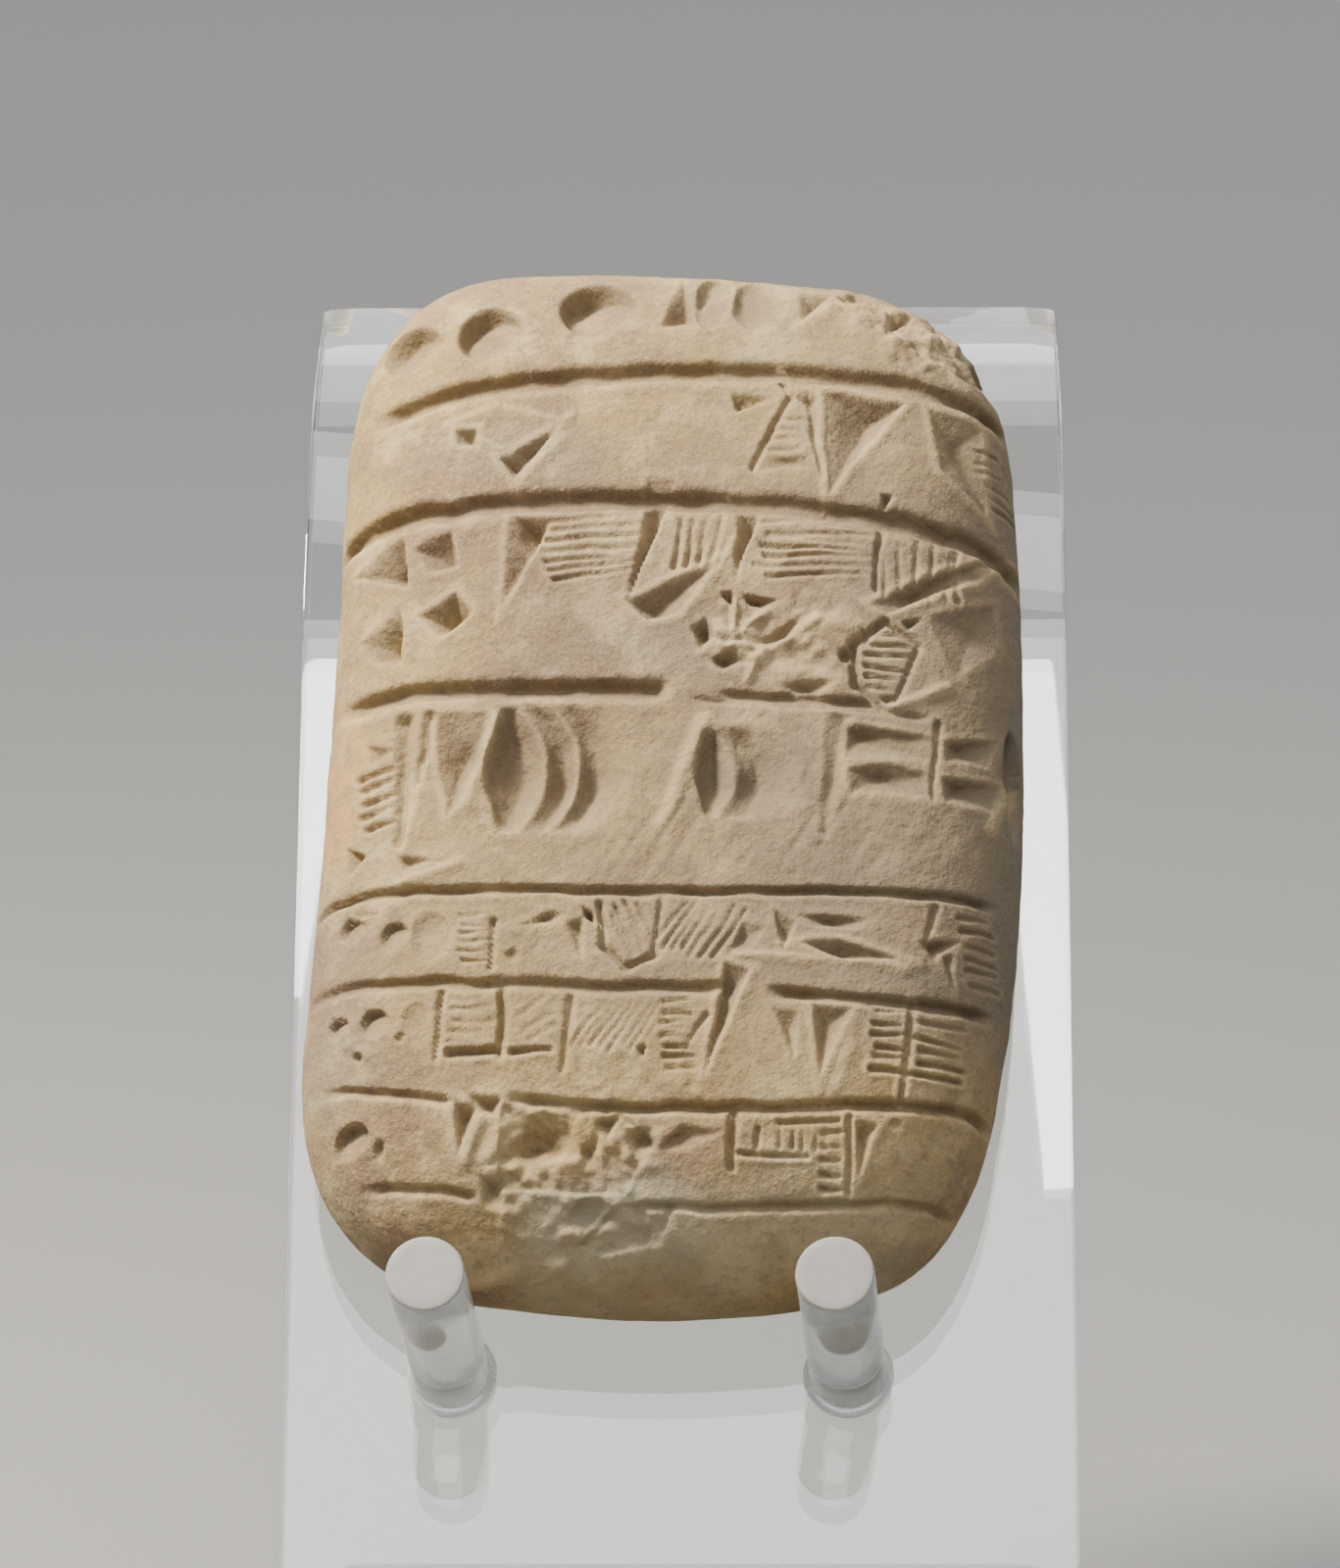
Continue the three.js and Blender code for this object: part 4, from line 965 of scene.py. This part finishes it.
def clay_material(settings):
    """Dry clay: mottled buff, with soil and painted shade in the strokes, wear and painted highlight on the
    edges, and painted shade towards the right and below.
    """
    material, tree, surface = shader("dry_clay")
    place = tree.nodes.new("ShaderNodeTexCoord").outputs["Object"]
    clouds = noise_node(tree, place, CLOUDS)
    blotches = noise_node(tree, place, BLOTCHES, 5.0, 0.6)
    mottles = noise_node(tree, place, MOTTLES, 4.0, 0.6)
    specks = noise_node(tree, place, SPECKS, 3.0, 0.6)
    grains = noise_node(tree, place, GRAINS, 2.0, 0.6)
    # Each mottling over the main colour: its noise, the span of that noise, its strength, its colour
    mottling = (
        (clouds, 0.42, 0.60, 1.0, settings.pink),
        (blotches, 0.46, 0.66, 0.75, settings.cream_and_highlight),
        (mottles, 0.50, 0.70, 0.40, settings.soil_and_shade),
        (specks, 0.52, 0.70, 0.50, settings.soil_and_shade),
        (grains, 0.52, 0.72, 0.45, settings.cream_and_highlight),
    )
    colour = settings.buff
    for noise, low, high, strength, tint in mottling:
        colour = mix_colours(tree, ramp_node(tree, noise, low, high, 0.0, strength), colour, tint)
    stains = (
        # Painted shade towards the right and below, wear and painted highlight on lips, soil and painted
        # shade in the strokes, then dust and a rusty patch
        ("painted_shade", 1.0, settings.painted_shade),
        ("wear_and_painted_highlight", 0.35, settings.cream_and_highlight),
        ("soil_and_painted_shade", 0.50, settings.soil_and_shade),
        ("dust", 0.65, settings.crust),
        ("warm", 0.5, RUST),
    )
    for name, strength, tint in stains:
        share = times_node(tree, attribute_node(tree, name), strength)
        colour = mix_colours(tree, share, colour, tint)
    roughness = ramp_node(tree, specks, 0.3, 0.7, 0.82, 0.97)
    # Each layer of bumps: its noise, its strength and its height in metres
    bumps = ((mottles, 0.6, 0.00035), (specks, 0.7, 0.00018), (grains, 0.6, 0.00008))
    normal = None
    for noise, strength, distance in bumps:
        normal = bump_node(tree, noise, strength, distance, normal)
    fill(tree, surface, {"Base Color": colour, "Roughness": roughness,
                         "Specular IOR Level": 0.25, "Normal": normal})
    return material


# How strongly acrylic bends light, and the scales of the wipe marks and of the saw's mottling on it
ACRYLIC_BENDING = 1.49
WIPE_MARKS = 120.0
SAW_MOTTLE = 900.0


def clear_material(name, colour, roughness, haze=0.0, clearness=1.0):
    """See-through acrylic, with faint wipe marks in its gloss."""
    material, tree, surface = shader(name)
    gloss = roughness
    if haze > 0:
        place = tree.nodes.new("ShaderNodeTexCoord").outputs["Object"]
        smear = noise_node(tree, place, WIPE_MARKS, 5.0, 0.6, 1.5)
        gloss = ramp_node(tree, smear, 0.45, 0.8, roughness, roughness + haze)
    fill(tree, surface, {"Base Color": colour, "Transmission Weight": clearness,
                         "IOR": ACRYLIC_BENDING, "Roughness": gloss})
    return material


def sawn_material(settings):
    """The matt end of a sawn rod."""
    material, tree, surface = shader("sawn_acrylic")
    place = tree.nodes.new("ShaderNodeTexCoord").outputs["Object"]
    mottle = noise_node(tree, place, SAW_MOTTLE, 4.0, 0.6)
    pale = tuple(min(1.0, 1.12 * part) for part in settings.sawn)
    colour = mix_colours(tree, ramp_node(tree, mottle, 0.3, 0.7), settings.sawn, pale)
    normal = bump_node(tree, mottle, 0.35, 0.00008)
    fill(tree, surface, {"Base Color": colour, "Transmission Weight": 0.35,
                         "IOR": ACRYLIC_BENDING, "Roughness": 0.62, "Normal": normal})
    return material


# Operators: one for each piece or group of like pieces, and one for the stage

class OBJECT_OT_make_clay_tablet(bpy.types.Operator):
    """Make the clay tablet with its rulings, rows of strokes and broken places"""

    bl_idname = "object.make_clay_tablet"
    bl_label = "Clay Tablet"

    def execute(self, context):
        settings = context.scene.clay_tablet
        form = TabletForm(settings)
        piece = tablet_blank(settings)
        parameters, _ = local_places(piece)
        u, v, depth = parameters.T
        set_places(piece, form.places(u, v, -depth, BACK_RINGS))
        places, normals = local_places(piece)
        if normals[np.argmax(places[:, 2])][2] < 0:
            raise RuntimeError("the tablet is inside out")
        height, _ = tablet_relief(form, places, normals)
        set_places(piece, places + normals * height[:, None])
        share = settings.face_limit / len(piece.data.polygons)
        apply_modifier(piece, "DECIMATE", "Thin Out", ratio=min(share, 1.0), use_collapse_triangulate=True)
        places, normals = local_places(piece)
        _, clay = tablet_relief(form, places, normals)
        for name, values in clay_stains(places, clay).items():
            store(piece, name, values)
        piece.data.transform(plate_matrix(TABLET_SHIFT, PEG_LINE + form.lift, SEAT_GAP))
        only(piece)
        bpy.ops.object.shade_smooth()
        piece.data.materials.append(clay_material(settings))
        finish_piece(piece, "clay", "tablet")
        return {"FINISHED"}


class OBJECT_OT_make_clear_stand(bpy.types.Operator):
    """Make the clear stand: one strip, bent into a foot, a leaning plate and a curled top"""

    bl_idname = "object.make_clear_stand"
    bl_label = "Clear Stand"

    BEND_STEPS = 28
    CURL_STEPS = 36
    CORNER_STEPS = 8
    SHARP_TURN = math.radians(50)
    SMOOTH_TURN = math.radians(12)

    def execute(self, context):
        settings = context.scene.clear_stand
        half = SHEET_WIDTH / 2 * MM
        foot_end = (CORNER_Y + FOOT_LENGTH) * MM
        bpy.ops.mesh.primitive_plane_add(size=1, location=(0, 0, 0))
        piece = new_piece("clear_stand")
        piece.scale = (2 * half, SHEET_THICKNESS * MM, 1)
        piece.rotation_euler = (math.pi / 2, 0, 0)
        piece.location = (0, foot_end, SHEET_THICKNESS / 2 * MM)
        bpy.ops.object.transform_apply(location=True, rotation=True, scale=True)
        start_editing("FACE")
        flat = -(FOOT_LENGTH - BEND_TANGENT) * MM
        extrude((0, flat, 0))
        bend = (0, (CORNER_Y + BEND_TANGENT) * MM, BEND_RADIUS * MM)
        bpy.ops.mesh.spin(steps=self.BEND_STEPS, angle=math.pi / 2 + LEAN, center=bend, axis=(1, 0, 0))
        straight = (PEG_LINE + PLATE_OVER_PEGS - BEND_TANGENT) * MM
        climb = (0, straight * math.sin(LEAN), straight * math.cos(LEAN))
        extrude(climb)
        curl = plate_point(0, PEG_LINE + PLATE_OVER_PEGS, -TOP_RADIUS)
        bpy.ops.mesh.spin(steps=self.CURL_STEPS, angle=TOP_CURL, center=curl, axis=(1, 0, 0))
        bpy.ops.mesh.select_all(action="SELECT")
        bpy.ops.mesh.remove_doubles(threshold=1e-6)
        finish_editing()
        self.round_corners(piece, half, foot_end, settings.corner * MM)
        apply_modifier(
            piece, "BEVEL", "Polished Edges", width=settings.polish * MM, segments=3,
            limit_method="ANGLE", angle_limit=self.SHARP_TURN, harden_normals=False)
        only(piece)
        bpy.ops.object.shade_smooth_by_angle(angle=self.SMOOTH_TURN)
        piece.data.materials.append(clear_material("clear_sheet", settings.clear, 0.008, 0.02))
        piece.data.materials.append(clear_material("polished_edge", settings.edge_tint, 0.12))
        for face in piece.data.polygons:
            face.material_index = 1 if abs(face.normal.x) > 0.6 else 0
        finish_piece(piece, "clear_sheet", "stand")
        return {"FINISHED"}

    def round_corners(self, piece, half, foot_end, radius):
        """Rounds the strip's four corners, at the end of the foot and at the end of the curl."""
        end_angle = math.pi - LEAN - TOP_CURL
        curl = plate_point(0, PEG_LINE + PLATE_OVER_PEGS, -TOP_RADIUS)
        ends = [Vector((0, foot_end, 0)), Vector((0, foot_end, SHEET_THICKNESS * MM))]
        for reach in (TOP_RADIUS, TOP_RADIUS - SHEET_THICKNESS):
            ends.append(curl + Vector((0, math.cos(end_angle), math.sin(end_angle))) * reach * MM)

        def at_end(point):
            return any(math.hypot(point.y - end.y, point.z - end.z) < 1e-5 for end in ends)

        pick_edges(piece, lambda a, b: abs(a.x - b.x) < 1e-6 and abs(abs(a.x) - half) < 1e-6
                   and at_end(a) and at_end(b))
        bpy.ops.mesh.bevel(offset=radius, segments=self.CORNER_STEPS, affect="EDGES", offset_type="OFFSET")
        bpy.ops.object.mode_set(mode="OBJECT")


class OBJECT_OT_make_clear_rods(bpy.types.Operator):
    """Make the two clear rods that carry the tablet, each with its ring of cement and its sawn end"""

    bl_idname = "object.make_clear_rods"
    bl_label = "Clear Rods"

    ROUND_STEPS = 56
    SMOOTH_TURN = math.radians(18)
    SAWN_RINGS = (0.15, 0.12, 0.08)

    def profile(self, settings):
        """Radius and place along the rod, from the plate to the sawn end."""
        rod = settings.diameter / 2
        ring = settings.collar / 2 - rod
        height = settings.collar_height
        fillet = [(rod + ring * (1 - math.sin(turn)), height * (0.22 + 0.78 * (1 - math.cos(turn))))
                  for turn in (0.0, 0.3, 0.6, 0.9, 1.2, math.pi / 2)]
        tip = settings.length
        chamfer = settings.chamfer
        edge = [(rod - chamfer * (1 - math.cos(turn)), tip - chamfer * (1 - math.sin(turn)))
                for turn in (0.0, 0.5, 1.0, math.pi / 2)]
        return [(rod + ring * 0.9, 0.0)] + fillet + [(rod, tip * 0.4), (rod, tip * 0.7)] + edge

    def execute(self, context):
        settings = context.scene.clear_rods
        side_clear = clear_material("clear_rod", (0.93, 0.945, 0.93), 0.06, 0.25, 0.93)
        cement = clear_material("cement_ring", (0.80, 0.81, 0.79), 0.25, 0.2, 0.70)
        sawn = sawn_material(settings)
        for name, node, side in (("left_rod", "left_peg", -1), ("right_rod", "right_peg", 1)):
            profile = self.profile(settings)
            bpy.ops.object.select_all(action="DESELECT")
            bpy.ops.mesh.primitive_circle_add(
                vertices=self.ROUND_STEPS, radius=profile[0][0], fill_type="NGON")
            piece = new_piece(name)
            start_editing("FACE")
            for (radius, along), (next_radius, next_along) in zip(profile, profile[1:]):
                extrude((0, 0, next_along - along))
                grow = next_radius / radius
                bpy.ops.transform.resize(value=(grow, grow, 1))
            for share in self.SAWN_RINGS:
                bpy.ops.mesh.inset(thickness=settings.diameter / 2 * share)
            finish_editing()
            for material in (side_clear, sawn, cement):
                piece.data.materials.append(material)
            for face in piece.data.polygons:
                if face.center.z > settings.length - settings.chamfer * 0.9:
                    face.material_index = 1
                elif face.center.z < settings.collar_height:
                    face.material_index = 2
            across = PEG_SHIFT + side * PEG_SPACING / 2
            place = plate_matrix(across, PEG_LINE, SEAT_GAP)
            piece.data.transform(place @ Matrix.Rotation(-PEG_LEAN, 4, "Y"))
            only(piece)
            bpy.ops.object.shade_smooth_by_angle(angle=self.SMOOTH_TURN)
            finish_piece(piece, "clear_rod", node)
        return {"FINISHED"}


class OBJECT_OT_set_tablet_stage(bpy.types.Operator):
    """Lay the pale floor, hang the soft lights and set the camera"""

    bl_idname = "object.set_tablet_stage"
    bl_label = "Stage and Camera"

    TARGET_ACROSS = -1.064
    TARGET_UP = 50.394
    FRAME_HEIGHT_PIXELS = 1600.0
    SENSOR = 24.0
    LIT_PLACE = plate_point(0, PEG_LINE + 40, 0)
    KEY_PLACE = LIT_PLACE + Vector((-0.57, -0.07, 0.82)) * 0.45
    # Each light panel: name, place, size in metres, radiance and colour
    LIGHTS = (
        ("key_light", KEY_PLACE, (0.11, 0.11), 205.0, (1.0, 0.94, 0.82)),
        ("ceiling_panel", (0.2, 0.3, 1.8), (2.4, 2.4), 0.45, (0.96, 0.99, 1.0)),
        ("top_strip", (-0.025, 0.05, 1.6), (0.24, 2.2), 4.5, (1.0, 0.99, 0.98)),
        ("back_panel", (0.0, 1.9, 1.7), (3.4, 2.0), 2.4, (1.0, 0.99, 0.97)),
        ("front_panel", plate_point(0, 640, 1500), (0.50, 0.75), 7.0, (1.0, 0.98, 1.0)),
        ("left_strip", plate_point(-128, 745, 1480), (0.014, 0.14), 40.0, (0.97, 0.98, 1.0)),
        ("right_strip", plate_point(76, 705, 1480), (0.016, 0.20), 34.0, (0.97, 0.98, 1.0)),
    )
    FLOOR_SIZE = 9.0
    FLOOR_PLACE = (0, 2.4, -0.0003)
    ROOM_COLOUR = (0.94, 0.98, 1.0)
    ROOM_STRENGTH = 0.55

    def execute(self, context):
        settings = context.scene.tablet_stage
        self.lay_floor(settings)
        self.hang_lights(context)
        self.set_camera(context, settings)
        return {"FINISHED"}

    def lay_floor(self, settings):
        bpy.ops.object.select_all(action="DESELECT")
        bpy.ops.mesh.primitive_plane_add(size=self.FLOOR_SIZE, location=self.FLOOR_PLACE)
        floor = new_piece("floor")
        bpy.ops.object.transform_apply(location=True, rotation=False, scale=False)
        material, tree, surface = shader("plain_floor")
        fill(tree, surface, {"Base Color": settings.floor, "Roughness": 0.85, "Specular IOR Level": 0.2})
        floor.data.materials.append(material)

    def hang_light(self, name, place, size, radiance, colour):
        """A rectangular light panel that faces the plate, of a given brightness."""
        bpy.ops.object.light_add(type="AREA", location=place)
        light = bpy.context.active_object
        light.name = name
        light.rotation_euler = (Vector(place) - self.LIT_PLACE).to_track_quat("Z", "Y").to_euler()
        light.data.shape = "RECTANGLE"
        light.data.size, light.data.size_y = size
        light.data.energy = radiance * math.pi * size[0] * size[1]
        light.data.color = colour

    def hang_lights(self, context):
        for light in self.LIGHTS:
            self.hang_light(*light)
        world = bpy.data.worlds.new("soft_room")
        context.scene.world = world
        world.use_nodes = True
        background = world.node_tree.nodes["Background"]
        fill(world.node_tree, background, {"Color": self.ROOM_COLOUR, "Strength": self.ROOM_STRENGTH})

    def set_camera(self, context, settings):
        target = plate_point(self.TARGET_ACROSS, PEG_LINE + self.TARGET_UP, 0)
        turn = (Matrix.Rotation(settings.azimuth, 4, "Z")
                @ Matrix.Rotation(math.pi / 2 - settings.elevation, 4, "X")
                @ Matrix.Rotation(settings.roll, 4, "Z"))
        bpy.ops.object.camera_add()
        camera = context.active_object
        camera.name = "camera"
        back = Matrix.Translation((0, 0, settings.distance))
        camera.matrix_world = Matrix.Translation(target) @ turn @ back
        camera.data.sensor_fit = "VERTICAL"
        camera.data.sensor_height = self.SENSOR
        camera.data.lens = self.SENSOR * settings.focal_pixels / self.FRAME_HEIGHT_PIXELS
        camera.data.clip_start = 0.01
        camera.data.clip_end = 50.0
        context.scene.camera = camera


class VIEW3D_PT_clay_tablet(bpy.types.Panel):
    """Lists what the add-on makes, with its sizes and colours"""

    bl_idname = "VIEW3D_PT_clay_tablet"
    bl_label = "Clay Tablet on a Clear Stand"
    bl_space_type = "VIEW_3D"
    bl_region_type = "UI"
    bl_category = "Tablet"

    def draw(self, context):
        scene = context.scene
        for operator, name in MAKERS:
            box = self.layout.box()
            box.operator(operator.bl_idname)
            settings = getattr(scene, name)
            for key in settings.__annotations__:
                box.prop(settings, key)


MAKERS = (
    (OBJECT_OT_set_tablet_stage, "tablet_stage"),
    (OBJECT_OT_make_clear_stand, "clear_stand"),
    (OBJECT_OT_make_clear_rods, "clear_rods"),
    (OBJECT_OT_make_clay_tablet, "clay_tablet"),
)
SETTINGS = {
    "clay_tablet": TabletSettings,
    "clear_stand": StandSettings,
    "clear_rods": RodSettings,
    "tablet_stage": StageSettings,
}


def register():
    for name, group in SETTINGS.items():
        bpy.utils.register_class(group)
        setattr(bpy.types.Scene, name, PointerProperty(type=group))
    for operator, _ in MAKERS:
        bpy.utils.register_class(operator)
    bpy.utils.register_class(VIEW3D_PT_clay_tablet)


def unregister():
    bpy.utils.unregister_class(VIEW3D_PT_clay_tablet)
    for operator, _ in reversed(MAKERS):
        bpy.utils.unregister_class(operator)
    for name, group in SETTINGS.items():
        delattr(bpy.types.Scene, name)
        bpy.utils.unregister_class(group)


def main():
    register()
    bpy.ops.object.set_tablet_stage()
    bpy.ops.object.make_clear_stand()
    bpy.ops.object.make_clear_rods()
    bpy.ops.object.make_clay_tablet()
    bpy.context.view_layer.update()


if __name__ == "__main__":
    main()
